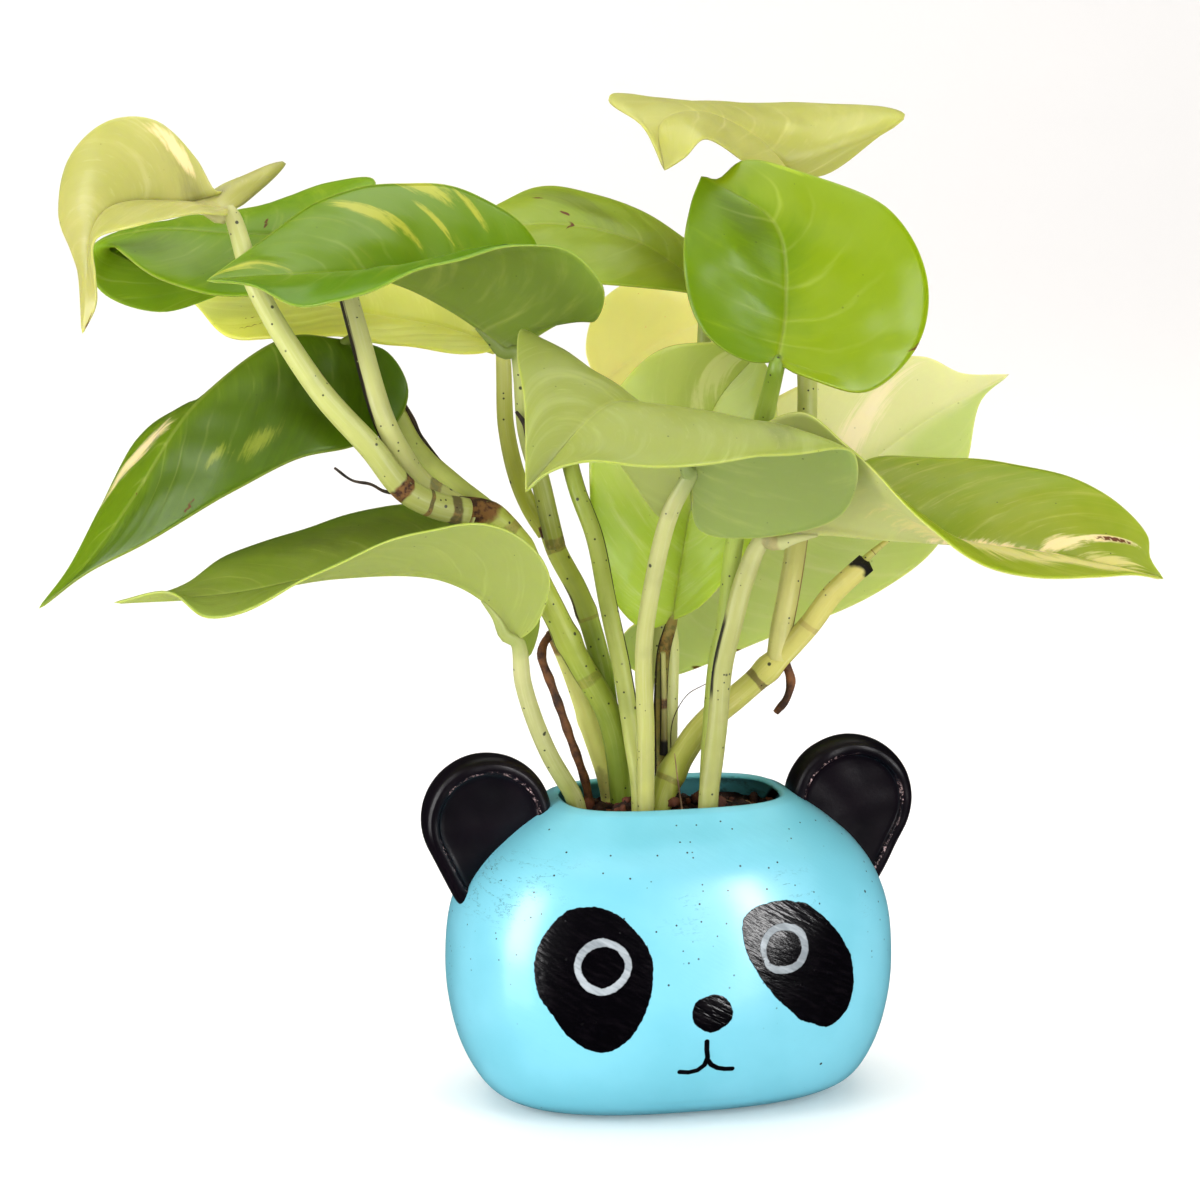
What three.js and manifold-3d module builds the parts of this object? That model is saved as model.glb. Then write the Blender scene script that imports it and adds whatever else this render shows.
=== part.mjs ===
// A young neon pothos in a small painted pot with the shape of a panda's head.
// Millimetres, +Z up. The origin is the middle of the pot's flat underside; the face looks along -Y.

import * as THREE from 'three'
import { mergeVertices } from 'three/addons/utils/BufferGeometryUtils.js'
import Module from 'manifold-3d'

const wasm = await Module()
wasm.setup()

// Driving dimensions
const GAP = 0.3
const BLADE_THICKNESS = 0.8
const MIDRIB_DEPTH = 0.7
const TUBE_SIDES = 8
const WALL = 3
const FLOOR = 4
const SOIL_LEVEL = 63

// The head is a stack of superellipses: height, half width, half depth and how square each one is
const HEAD = [
  { z: 0, a: 32, b: 18, square: 2.5 },
  { z: 1.5, a: 37.5, b: 22.5, square: 2.5 },
  { z: 5, a: 42.5, b: 28, square: 2.5 },
  { z: 13, a: 47, b: 33.5, square: 2.4 },
  { z: 24, a: 49.6, b: 36, square: 2.4 },
  { z: 34, a: 50, b: 36, square: 2.4 },
  { z: 43, a: 49, b: 35, square: 2.4 },
  { z: 50, a: 46.5, b: 32.6, square: 2.4 },
  { z: 56.5, a: 42, b: 29, square: 2.5 },
  { z: 62, a: 36, b: 24.6, square: 2.6 },
  { z: 66, a: 30.5, b: 20.2, square: 2.8 },
  { z: 68.7, a: 26.2, b: 17.4, square: 3 }
]
const RIM = HEAD.at(-1)
const RIM_WALL = 1.8
const WALL_THINS_FROM = 62
const WIDEST = 34
const HEAD_SIDES = 36

// The ears, seen from the front: a round lobe that runs down into the side of the head
const EAR = { x: 41.5, z: 65, radius: 14.5, footX: 45.5, footZ: 48.5, footRadius: 3.5, thickness: 9 }
const EAR_ROUNDING = 3
const EAR_RECESS = 1
const EAR_RIM = 0.5

// Blades are built from rows of cells; the rows lie closer together at the base
const BLADE_ROWS = 14
const BLADE_CELLS = 3
const CROWDING = 1.5

// Each leaf: the midrib from base to tip, the two margins from base to tip (left and right as seen
// from above, looking from the base to the tip), and the leaf stalk from its root to the base.
const LEAVES = {
  leaf_lemon_left: {
    midrib: [[-95, 10, 199], [-107, 14, 201], [-121, 14, 199], [-127, 7, 174]],
    left: [[-97, 2, 199], [-105, -4, 200], [-116, -7, 198], [-124, 0, 195], [-124, 6, 187], [-124, 7, 180]],
    right: [[-91, 15, 200], [-80, 26, 208], [-92, 20, 205], [-97, 13, 203], [-101, 15, 210],
      [-109, 18, 218], [-118, 22, 218], [-127, 24, 210], [-130, 22, 198], [-127, 16, 188]],
    stalk: [[-46, -2, 134], [-53, -4, 136], [-60, -5, 140], [-67, -5, 149], [-78, -2, 162], [-90, 4, 183]],
    radius: [2.8, 1.9],
    colour: 0xd6e07a
  },
  leaf_long_left: {
    midrib: [[-69, 30, 191], [-90, 31, 192], [-109, 33, 193], [-122, 36, 189], [-119, 42, 179],
      [-106, 44, 174], [-92, 42, 178]],
    left: [[-67, 20, 187], [-80, 10, 182], [-95, 12, 181], [-109, 19, 184], [-117, 29, 190],
      [-117, 39, 188], [-106, 42, 183]],
    right: [[-62, 33, 195], [-58, 40, 202], [-67, 50, 201], [-85, 57, 194], [-106, 57, 190],
      [-114, 52, 187], [-103, 50, 185]],
    stalk: [[-43, 3, 132], [-48, 4, 135], [-55, 3, 140], [-60, -1, 147], [-64, -2, 155], [-67, 9, 171],
      [-68, 17, 179]],
    radius: [2.6, 2],
    colour: 0x8db33a
  },
  leaf_big_green: {
    midrib: [[-34, 2, 168], [-48, 2, 178], [-63, 0, 185], [-87, -8, 187], [-103, -14, 187]],
    left: [[-25, -3, 175], [-20, -15, 177], [-21, -24, 185], [-31, -26, 194], [-48, -28, 193],
      [-65, -28, 188], [-77, -25, 183], [-85, -21, 182], [-94, -17, 186]],
    right: [[-27, 6, 174], [-27, 14, 190], [-39, 21, 201], [-55, 23, 203], [-72, 19, 201], [-89, 4, 193]],
    stalk: [[-24, 8, 124], [-26, 6, 131], [-28, 5, 139], [-31, 5, 150]],
    radius: [2, 1.8],
    colour: 0x7fb02c
  },
  leaf_back_top: {
    midrib: [[13, 24, 179], [0, 29, 188], [-17, 35, 192], [-42, 36, 190]],
    left: [[14, 15, 177], [6, 11, 179], [-11, 11, 181], [-29, 19, 183], [-39, 29, 186]],
    right: [[18, 33, 183], [11, 45, 190], [-3, 54, 197], [-19, 52, 199], [-33, 45, 194]],
    stalk: [[-4, 7, 44], [-3, 9, 72], [-2, 13, 91], [1, 14, 104], [3, 16, 117], [10, 17, 142],
      [13, 21, 165]],
    radius: [1.6, 1.5],
    colour: 0x93b84a,
    rooted: true
  },
  leaf_lemon_back: {
    midrib: [[-9, 31, 156], [4, 34, 164], [21, 38, 170], [39, 40, 173]],
    left: [[-11, 35, 164], [-4, 44, 175], [15, 50, 180], [31, 50, 178]],
    right: [[-12, 25, 149], [-1, 23, 147], [16, 25, 152], [30, 32, 163]],
    stalk: [[-8, -6, 44], [-8, -6, 71], [-9, -3, 82], [-11, -1, 97], [-14, 0, 112], [-17, 0, 127],
      [-20, 4, 137], [-20, 14, 145], [-18, 22, 150]],
    radius: [2.2, 1.8],
    colour: 0xdcd98a,
    rooted: true
  },
  leaf_lemon_low: {
    midrib: [[-35, 14, 168], [-46, 25, 171], [-60, 34, 173], [-78, 51, 175], [-98, 64, 176]],
    left: [[-40, 11, 167], [-56, 18, 168], [-77, 31, 169], [-91, 43, 168], [-96, 55, 173]],
    right: [[-29, 21, 173], [-31, 36, 180], [-45, 54, 184], [-66, 69, 183], [-87, 71, 179]],
    stalk: [[-25, 13, 126], [-28, 15, 131], [-31, 15, 138], [-34, 13, 150]],
    radius: [2, 1.6],
    colour: 0xd2d477
  },
  leaf_dark_droop: {
    midrib: [[-68, 13, 170], [-82, 15, 171], [-102, 15, 157], [-116, 14, 137], [-128, 15, 121],
      [-137, 17, 113]],
    left: [[-61, 10, 168], [-57, 6, 160], [-60, 4, 153], [-69, 1, 149], [-82, -1, 147], [-97, 0, 140],
      [-112, 5, 130], [-127, 13, 121]],
    right: [[-59, 20, 164], [-60, 30, 150], [-76, 38, 145], [-101, 38, 152], [-113, 32, 147],
      [-122, 26, 133], [-130, 20, 121]],
    stalk: [[-37, 2, 130], [-40, 7, 133], [-46, 11, 138], [-54, 14, 146], [-58, 16, 154], [-62, 16, 162]],
    radius: [2.2, 1.6],
    colour: 0x5f8f2a
  },
  leaf_low_left: {
    midrib: [[-37, -12, 107], [-43, -13, 116], [-54, -12, 122], [-75, -7, 122], [-98, -2, 118],
      [-122, 5, 116]],
    left: [[-34, -19, 112], [-33, -27, 124], [-43, -33, 135], [-61, -33, 136], [-77, -27, 129],
      [-92, -20, 120], [-104, -11, 115], [-111, -1, 119]],
    right: [[-36, -8, 103], [-32, -3, 102], [-29, 1, 110], [-35, 6, 119], [-45, 14, 128],
      [-56, 17, 133], [-78, 18, 128], [-95, 14, 124], [-106, 7, 119], [-113, 6, 117]],
    stalk: [[-20, -1, 44], [-21, -2, 66], [-25, -3, 74], [-28, -5, 77], [-32, -7, 87], [-35, -9, 97]],
    radius: [1.9, 1.7],
    colour: 0xa4c06a,
    rooted: true
  },
  leaf_heart: {
    midrib: [[18, -22, 167], [22, -14, 178], [22, -5, 195], [8, 5, 205]],
    left: [[11, -21, 168], [3, -17, 174], [0, -11, 187], [4, -1, 199]],
    right: [[22, -25, 165], [37, -26, 161], [49, -23, 170], [53, -17, 183], [47, -7, 198], [29, 2, 206],
      [18, 7, 208], [12, 6, 204]],
    stalk: [[7, -7, 44], [7, -7, 69], [9, -7, 99], [11, -7, 109], [13, -7, 127], [17, -11, 149]],
    radius: [1.8, 2.1],
    colour: 0xa3c52f,
    rooted: true
  },
  leaf_top_right: {
    midrib: [[35, 25, 202], [26, 22, 211], [11, 16, 218], [-1, 6, 216], [-2, -2, 207]],
    left: [[32, 18, 201], [19, 8, 208], [6, -4, 214], [2, -5, 210]],
    right: [[43, 27, 203], [56, 30, 211], [63, 33, 215], [54, 47, 217], [34, 52, 217], [12, 40, 219],
      [-10, 17, 221], [-5, 5, 216]],
    stalk: [[24, -3, 98], [25, -2, 104], [27, -1, 113], [30, 3, 125], [34, 10, 154], [35, 19, 176]],
    radius: [2.4, 1.9],
    colour: 0xcdd66c
  },
  leaf_front: {
    midrib: [[-1, -22, 144], [-7, -27, 155], [-22, -38, 162], [-43, -50, 146]],
    left: [[2, -18, 131], [12, -19, 129], [26, -26, 132], [31, -35, 139], [28, -45, 151], [8, -53, 152],
      [-12, -57, 151], [-31, -56, 153], [-39, -52, 150]],
    right: [[-5, -16, 133], [-13, -12, 143], [-24, -12, 160], [-37, -20, 176], [-40, -28, 172],
      [-41, -40, 161]],
    stalk: [[-8, -11, 44], [-8, -11, 70], [-8, -11, 85], [-9, -13, 104], [-8, -16, 118], [-5, -20, 135]],
    radius: [1.8, 1.8],
    colour: 0xbfd05c,
    rooted: true
  },
  leaf_green_mid: {
    midrib: [[2, 6, 106], [7, 10, 130], [12, 9, 153], [20, 2, 166]],
    left: [[-5, 5, 105], [-14, 4, 116], [-17, 5, 134], [-14, 7, 153], [-2, 6, 166], [10, 1, 169]],
    right: [[8, 3, 110], [17, 0, 122], [23, -1, 138], [24, -1, 154], [22, 0, 163]],
    stalk: [[-1, 3, 44], [-1, 3, 73], [-1, 4, 89], [0, 5, 100]],
    radius: [1.5, 1.5],
    colour: 0x9cc63a,
    rooted: true
  },
  leaf_back_right: {
    midrib: [[5, 18, 106], [19, 22, 117], [44, 25, 131], [67, 24, 147], [85, 21, 157]],
    left: [[-4, 21, 102], [-6, 24, 95], [4, 26, 89], [26, 25, 96], [56, 22, 108], [70, 23, 119],
      [76, 23, 137], [79, 23, 151]],
    right: [[-1, 26, 114], [7, 32, 131], [26, 32, 148], [49, 28, 159], [66, 26, 161], [75, 25, 157]],
    stalk: [[1, 8, 44], [2, 8, 72], [3, 11, 85], [4, 14, 97]],
    radius: [1.6, 1.6],
    colour: 0xb9cc78,
    rooted: true
  },
  leaf_right_streaked: {
    midrib: [[18, -12, 127], [29, -15, 129], [41, -18, 128], [60, -20, 126], [82, -23, 123],
      [104, -30, 118]],
    left: [[24, -8, 124], [34, -3, 133], [46, 3, 141], [65, 4, 141], [84, -5, 139], [97, -14, 134],
      [103, -22, 126], [102, -27, 122]],
    right: [[13, -13, 134], [13, -17, 150], [22, -26, 157], [29, -37, 151], [38, -48, 141],
      [50, -51, 130], [67, -46, 123], [85, -40, 121], [96, -34, 120]],
    stalk: [[6, -12, 44], [6, -12, 70], [7, -12, 78], [8, -12, 87], [9, -12, 99], [11, -13, 109],
      [14, -12, 119]],
    radius: [2, 2],
    colour: 0x97b84a,
    rooted: true
  }
}

// Stems: the middle line of each shoot, with its radius at the foot and at the top
const STEMS = {
  stem_left: {
    lines: [
      { path: [[-10, 3, 44], [-10, 3, 68], [-13, 3, 86], [-20, 4, 99], [-27, 3, 113], [-36, 2, 129],
        [-42, 3, 133], [-47, 3, 134]], radius: [2.8, 2.8] },
      { path: [[-13, 3, 86], [-14, 8, 98], [-18, 10, 112], [-23, 11, 122], [-25, 11, 128]],
        radius: [2.3, 2.3] }
    ],
    colour: 0xa9bf4f
  },
  stem_specked: {
    lines: [{ path: [[-11, 10, 44], [-11, 10, 66], [-15, 12, 81], [-19, 13, 94], [-23, 13, 104]],
      radius: [2.3, 2.3] }],
    colour: 0xb8c862
  },
  stem_cut: {
    lines: [
      { path: [[-4, -2, 44], [-2, -2, 68], [5, 0, 80], [10, 1, 85], [16, 0, 90], [22, -2, 96],
        [31, -4, 106], [36, -5, 113], [43, -7, 120]], radius: [3, 2.3] },
      { path: [[40, -6, 117], [43, -7, 121], [48, -7, 125]], radius: [1.2, 0.5] }
    ],
    colour: 0xc3cf5e
  }
}

// Air roots and the dried sheaths of fallen leaves, given like the stems
const ROOTS = {
  root_left: {
    path: [[-20, 12, 103], [-23, 11, 104], [-26, 10, 102], [-27, 9, 99], [-25, 9, 93], [-23, 8, 87],
      [-21, 8, 81], [-19, 7, 75], [-17, 8, 68], [-16, 7, 52]],
    radius: [0.9, 0.9],
    colour: 0x6b3f1e,
    rooted: true
  },
  root_right: {
    path: [[26, -3, 97], [27, -3, 94], [27, -3, 92], [26, -3, 89], [24, -2, 86]],
    radius: [1, 0.7],
    colour: 0x4a2a18
  },
  root_hair: {
    path: [[-59, -4, 139], [-66, -3, 140], [-70, -3, 142], [-75, -4, 145]],
    radius: [0.5, 0.4],
    colour: 0x1a1713
  },
  sheath_left: {
    path: [[-57, 17, 157], [-53, 15, 149], [-49, 12, 143]],
    radius: [0.6, 0.9],
    colour: 0x1f1a12
  },
  sheath_shoot: {
    path: [[-34, 2, 155], [-31, 2, 149], [-29, 3, 143]],
    radius: [0.6, 0.8],
    colour: 0x2a2416
  },
  sheath_middle: {
    path: [[-1, 1, 77], [-1, 1, 88], [-1, 2, 100]],
    radius: [0.9, 0.6],
    colour: 0x2a2416
  }
}

const vector = ([x, y, z]) => new THREE.Vector3(x, y, z)
const smooth = (points) => new THREE.CatmullRomCurve3(points.map(vector), false, 'centripetal')

function solid(geometry) {
  // A closed geometry as a solid; one that was wound inside out is turned
  const bare = geometry.index ? geometry.clone() : geometry
  bare.deleteAttribute('normal')
  bare.deleteAttribute('uv')
  const merged = mergeVertices(bare, 1e-4)
  const triVerts = Uint32Array.from(merged.index.array)
  const vertProperties = Float32Array.from(merged.attributes.position.array)
  const whole = () => new wasm.Manifold(new wasm.Mesh({ numProp: 3, vertProperties, triVerts }))
  const made = whole()
  if (made.volume() > 0) return made
  for (let i = 0; i < triVerts.length; i += 3) [triVerts[i], triVerts[i + 1]] = [triVerts[i + 1], triVerts[i]]
  return whole()
}

function mesh(name, body, colour, roughness) {
  const { vertProperties, triVerts } = body.getMesh()
  const geometry = new THREE.BufferGeometry()
  geometry.setAttribute('position', new THREE.BufferAttribute(vertProperties, 3))
  geometry.setIndex(new THREE.BufferAttribute(triVerts, 1))
  geometry.computeVertexNormals()
  const material = new THREE.MeshStandardMaterial({ color: colour, roughness, metalness: 0 })
  const made = new THREE.Mesh(geometry, material)
  made.name = name
  return made
}

function tube(path, [foot, top], grow = 0) {
  // A round stalk along a smooth line, its radius running evenly from foot to top
  const line = smooth(path)
  const steps = Math.max(3, Math.round(line.getLength() / (4 * foot + 1)))
  const section = new THREE.Shape().absarc(0, 0, 1, 0, 2 * Math.PI)
  const geometry = new THREE.ExtrudeGeometry(section, { steps, curveSegments: TUBE_SIDES / 2,
    bevelEnabled: false, extrudePath: line })
  const position = geometry.attributes.position
  const centres = line.getSpacedPoints(steps)
  for (let i = 0; i < position.count; i++) {
    const point = new THREE.Vector3().fromBufferAttribute(position, i)
    const nearest = centres.reduce((best, centre, k) =>
      centre.distanceTo(point) < centres[best].distanceTo(point) ? k : best, 0)
    const radius = foot + (top - foot) * nearest / steps + grow
    point.sub(centres[nearest]).setLength(radius).add(centres[nearest])
    position.setXYZ(i, point.x, point.y, point.z)
  }
  return solid(geometry)
}

function blade({ midrib, left, right }) {
  // The blade is one sheet on straight lines from the midrib out to each margin. The lines start close
  // together at the base, so that they fan round the basal lobes. The sheet is then given its thickness.
  const rows = BLADE_ROWS
  const cells = BLADE_CELLS
  const spine = smooth(midrib)
  const margins = [left, right].map((side) => smooth([midrib[0], ...side, midrib.at(-1)]))
  const sheet = [vector(midrib[0]), vector(midrib.at(-1))]
  const depth = [0, 0]
  const column = 2 * cells + 1
  for (let i = 1; i < rows; i++) {
    const middle = spine.getPointAt((i / rows) ** CROWDING)
    const ends = margins.map((margin) => margin.getPointAt(i / rows))
    for (let j = -cells; j <= cells; j++) {
      const out = Math.abs(j) / cells
      sheet.push(middle.clone().lerp(ends[j < 0 ? 0 : 1], out))
      depth.push(MIDRIB_DEPTH * (1 - out) ** 4 * (1 - i / rows))
    }
  }
  const at = (i, j) => 2 + (i - 1) * column + j
  const faces = []
  const last = column - 1
  for (let j = 0; j < last; j++) {
    faces.push([0, at(1, j), at(1, j + 1)])
    faces.push([1, at(rows - 1, j + 1), at(rows - 1, j)])
  }
  for (let i = 1; i < rows - 1; i++) {
    for (let j = 0; j < last; j++) {
      if (j < cells) {
        faces.push([at(i, j), at(i + 1, j), at(i, j + 1)], [at(i, j + 1), at(i + 1, j), at(i + 1, j + 1)])
      } else {
        faces.push([at(i, j), at(i + 1, j), at(i + 1, j + 1)], [at(i, j), at(i + 1, j + 1), at(i, j + 1)])
      }
    }
  }
  const flat = new THREE.BufferGeometry().setFromPoints(sheet)
  flat.setIndex(faces.flat())
  flat.computeVertexNormals()
  const points = []
  for (const side of [1, -1]) {
    sheet.forEach((point, k) => {
      const normal = new THREE.Vector3().fromBufferAttribute(flat.attributes.normal, k)
      const lift = side > 0 ? -BLADE_THICKNESS / 2 - depth[k] : BLADE_THICKNESS / 2
      points.push(point.clone().addScaledVector(normal, lift))
    })
  }
  const count = sheet.length
  const shell = faces.map(([a, b, c]) => [a, c, b])
  shell.push(...faces.map(([a, b, c]) => [a + count, b + count, c + count]))
  const rim = [0]
  for (let i = 1; i < rows; i++) rim.push(at(i, last))
  rim.push(1)
  for (let i = rows - 1; i > 0; i--) rim.push(at(i, 0))
  rim.forEach((a, k) => {
    const b = rim[(k + 1) % rim.length]
    shell.push([b, a, a + count], [b, a + count, b + count])
  })
  const geometry = new THREE.BufferGeometry().setFromPoints(points)
  geometry.setIndex(shell.flat())
  return solid(geometry)
}

function ringPoint(angle, { a, b, square, z }) {
  // Superellipse |x/a|^n + |y/b|^n = 1 at an angle
  const c = Math.cos(angle)
  const s = Math.sin(angle)
  const reach = (Math.abs(c) ** square + Math.abs(s) ** square) ** (-1 / square)
  return new THREE.Vector3(a * c * reach, b * s * reach, z)
}

function stack(rings) {
  // A closed skin over a stack of rings, with a flat cap on the first and the last one
  const segments = HEAD_SIDES
  const points = rings.flatMap((ring) => Array.from({ length: segments }, (_, k) => {
    return ringPoint(2 * Math.PI * k / segments, ring)
  }))
  const faces = []
  rings.slice(1).forEach((_, i) => {
    for (let k = 0; k < segments; k++) {
      const next = (k + 1) % segments
      const [p, q] = [i * segments + k, i * segments + next]
      faces.push([p, q, q + segments], [p, q + segments, p + segments])
    }
  })
  for (const [i, turn] of [[0, true], [rings.length - 1, false]]) {
    const centre = points.length
    const first = i * segments
    const middle = new THREE.Vector3()
    for (let k = 0; k < segments; k++) middle.addScaledVector(points[first + k], 1 / segments)
    points.push(middle)
    for (let k = 0; k < segments; k++) {
      const [p, q] = [first + k, first + (k + 1) % segments]
      faces.push(turn ? [centre, q, p] : [centre, p, q])
    }
  }
  const geometry = new THREE.BufferGeometry().setFromPoints(points)
  geometry.setIndex(faces.flat())
  return solid(geometry)
}

function cavityRings(inset, top) {
  // The head's own rings, drawn in by the wall, from the floor up to a height above the rim
  const rings = HEAD.filter(({ z }) => z > FLOOR).map(({ z, a, b, square }) => {
    const thinning = Math.max(0, z - WALL_THINS_FROM) / (RIM.z - WALL_THINS_FROM)
    const wall = WALL + (RIM_WALL - WALL) * thinning
    return { z: z + inset * Math.sign(WIDEST - z), a: a - wall - inset, b: b - wall - inset, square }
  })
  const lowest = { ...rings[0], z: FLOOR + inset }
  lowest.a -= FLOOR
  lowest.b -= FLOOR
  const above = { ...rings.at(-1), z: top }
  return [lowest, ...rings, above]
}

function ear(side) {
  // The lobe's outline is the hull of a large circle and a small one, and its rim is rounded
  const { x, z, radius, footX, footZ, footRadius, thickness } = EAR
  const grow = -EAR_ROUNDING
  const outline = (inset) => {
    const big = radius + inset
    const small = Math.max(footRadius + inset, 0.5)
    const span = Math.hypot(footX - x, footZ - z)
    const toFoot = Math.atan2(footZ - z, footX - x)
    const open = Math.acos((big - small) / span)
    const shape = new THREE.Shape()
    shape.absarc(x, z, big, toFoot + open, toFoot - open + 2 * Math.PI, false)
    shape.absarc(footX, footZ, small, toFoot - open, toFoot + open, false)
    return shape
  }
  const lobe = new THREE.ExtrudeGeometry(outline(grow), { depth: thickness - 2 * EAR_ROUNDING,
    curveSegments: 10, bevelThickness: EAR_ROUNDING, bevelSize: EAR_ROUNDING, bevelSegments: 2 })
  lobe.rotateX(Math.PI / 2).translate(0, thickness / 2 - EAR_ROUNDING, 0)
  const hollow = new THREE.ExtrudeGeometry(outline(grow - EAR_RIM), { depth: 2 * EAR_RECESS,
    curveSegments: 10, bevelEnabled: false })
  hollow.rotateX(Math.PI / 2).translate(0, EAR_RECESS - thickness / 2, 0)
  if (side < 0) {
    lobe.scale(-1, 1, 1)
    hollow.scale(-1, 1, 1)
  }
  return solid(lobe).subtract(solid(hollow))
}

const plant = new THREE.Group()
const outside = stack(HEAD)
const cavity = stack(cavityRings(0, RIM.z + WALL))
const pot = outside.add(ear(1)).add(ear(-1)).subtract(cavity)
plant.add(mesh('pot', pot, 0x62d0e6, 0.4))

const rooted = []
const stems = []
for (const [name, stem] of Object.entries(STEMS)) {
  const grown = (extra) => stem.lines.map(({ path, radius }) => tube(path, radius, extra))
    .reduce((a, b) => a.add(b))
  stems.push(grown(GAP))
  rooted.push(stems.at(-1))
  plant.add(mesh(name, grown(0), stem.colour, 0.5))
}

// What grows from a stem or lies against a stalk is trimmed clear of it, and keeps its largest part
const clear = (body, others) => others.reduce((left, other) => left.subtract(other), body).decompose()
  .reduce((best, part) => part.volume() > best.volume() ? part : best)

const stalks = []
for (const [name, leaf] of Object.entries(LEAVES)) {
  const line = [...leaf.stalk, leaf.midrib[0]]
  stalks.push(tube(line, leaf.radius, GAP))
  if (leaf.rooted) rooted.push(stalks.at(-1))
  const whole = blade(leaf).add(tube(line, leaf.radius))
  plant.add(mesh(name, leaf.rooted ? whole : clear(whole, stems), leaf.colour, 0.4))
}

for (const [name, root] of Object.entries(ROOTS)) {
  if (root.rooted) rooted.push(tube(root.path, root.radius, GAP))
  plant.add(mesh(name, clear(tube(root.path, root.radius), [...stems, ...stalks]), root.colour, 0.8))
}

// The soil fills the cavity up to its level, and the stems stand in plain holes in it
const above = RIM.z - SOIL_LEVEL + WALL
const air = solid(new THREE.BoxGeometry(4 * RIM.a, 4 * RIM.a, above).translate(0, 0, SOIL_LEVEL + above / 2))
const fill = stack(cavityRings(GAP, RIM.z)).subtract(air)
plant.add(mesh('soil', rooted.reduce((left, stalk) => left.subtract(stalk), fill), 0x2e1c12, 0.95))

export default plant
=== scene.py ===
import bpy
import numpy as np
from mathutils import Matrix


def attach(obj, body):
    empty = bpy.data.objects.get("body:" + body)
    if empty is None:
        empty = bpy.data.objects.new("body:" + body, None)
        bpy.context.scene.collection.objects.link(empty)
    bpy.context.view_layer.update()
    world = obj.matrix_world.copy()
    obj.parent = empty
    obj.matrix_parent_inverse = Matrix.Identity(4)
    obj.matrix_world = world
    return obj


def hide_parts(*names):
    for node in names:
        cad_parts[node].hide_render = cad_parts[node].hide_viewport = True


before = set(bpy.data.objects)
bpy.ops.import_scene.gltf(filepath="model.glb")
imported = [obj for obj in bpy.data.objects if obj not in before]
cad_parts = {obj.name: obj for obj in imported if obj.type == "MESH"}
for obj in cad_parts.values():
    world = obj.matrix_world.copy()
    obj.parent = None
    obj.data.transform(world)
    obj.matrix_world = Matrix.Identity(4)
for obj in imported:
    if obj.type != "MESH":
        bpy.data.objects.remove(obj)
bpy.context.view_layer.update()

# The pot is one casting with the shape of a panda's head: thick sides, a rounded lip and a flat
# underside. It was brushed with glossy turquoise paint outside and in, and the eye patches, nose and
# mouth were painted over that by hand in black and pale grey.
MM = 0.001
HEAD = [(0, 32, 18, 2.5), (1.5, 37.5, 22.5, 2.5), (5, 42.5, 28, 2.5), (13, 47, 33.5, 2.4),
    (24, 49.6, 36, 2.4), (34, 50, 36, 2.4), (43, 49, 35, 2.4), (50, 46.5, 32.6, 2.4),
    (56.5, 42, 29, 2.5), (62, 36, 24.6, 2.6), (66, 30.5, 20.2, 2.8), (68.7, 26.2, 17.4, 3)]
WALL, RIM_WALL, FLOOR, WALL_THINS_FROM = 3, 1.8, 4, 62
MUZZLE = dict(x=0.5, z=25, wide=15, high=12, out=1.4)
LEFT_EYE = [(-30, 50), (-25.2, 51.4), (-20.6, 50.6), (-16, 47.2), (-12.7, 41.7), (-12.3, 35.4),
    (-14.4, 28), (-18.3, 22), (-22.9, 19.8), (-27.4, 21.2), (-32, 26), (-35.8, 32.4), (-36.6, 38.7),
    (-34.6, 45.2)]
LEFT_RING = [(-22.5, 44.3), (-18.9, 42.7), (-17.4, 39.3), (-19.3, 35.6), (-23.1, 33.6), (-26.8, 35.4),
    (-28, 39.2), (-26.4, 42.6)]
RIGHT_EYE = [(8.6, 48.4), (13.6, 50.4), (19.8, 50.6), (25, 48.3), (30.1, 43.5), (33.8, 37.1),
    (34.9, 31.9), (33.3, 25.4), (28.3, 21.7), (22.3, 24.1), (16.3, 29.1), (11, 36.3), (8.1, 42.9)]
RIGHT_RING = [(17.6, 45.5), (21.2, 44), (22.4, 40.3), (20.8, 37.2), (17.2, 36.2), (13.8, 37.4),
    (12.5, 41.4), (14.2, 44.6)]
NOSE = [(0.3, 32.4), (3.4, 31.6), (5, 29), (4.4, 26), (0.8, 24.1), (-2.6, 25.2), (-4.1, 28), (-3.2, 31)]
MOUTH = [[(-0.6, 22), (-0.5, 19.8), (-0.2, 17.6), (-1.2, 15.6), (-3.4, 14.6), (-6, 14.8)],
    [(-0.2, 17.6), (1, 16), (3, 15), (5.7, 14.7)]]
RING_LINE, MOUTH_LINE = 1.5, 1.15
TURQUOISE, TURQUOISE_LIGHT = (108, 188, 207), (118, 196, 216)
# The head's rows, counted from the middle of its underside: the face ends at the lip, and the inner
# paint starts on the far side of it. Its columns lie closer together at the front.
OUTSIDE_ROWS, LIP_ROWS, FACE_ENDS, INNER_STARTS = 150, 8, 154, 159
HEAD_COLUMNS, CROWD_FRONT, UNPAINTED = 440, 0.42, -9.0


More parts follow.
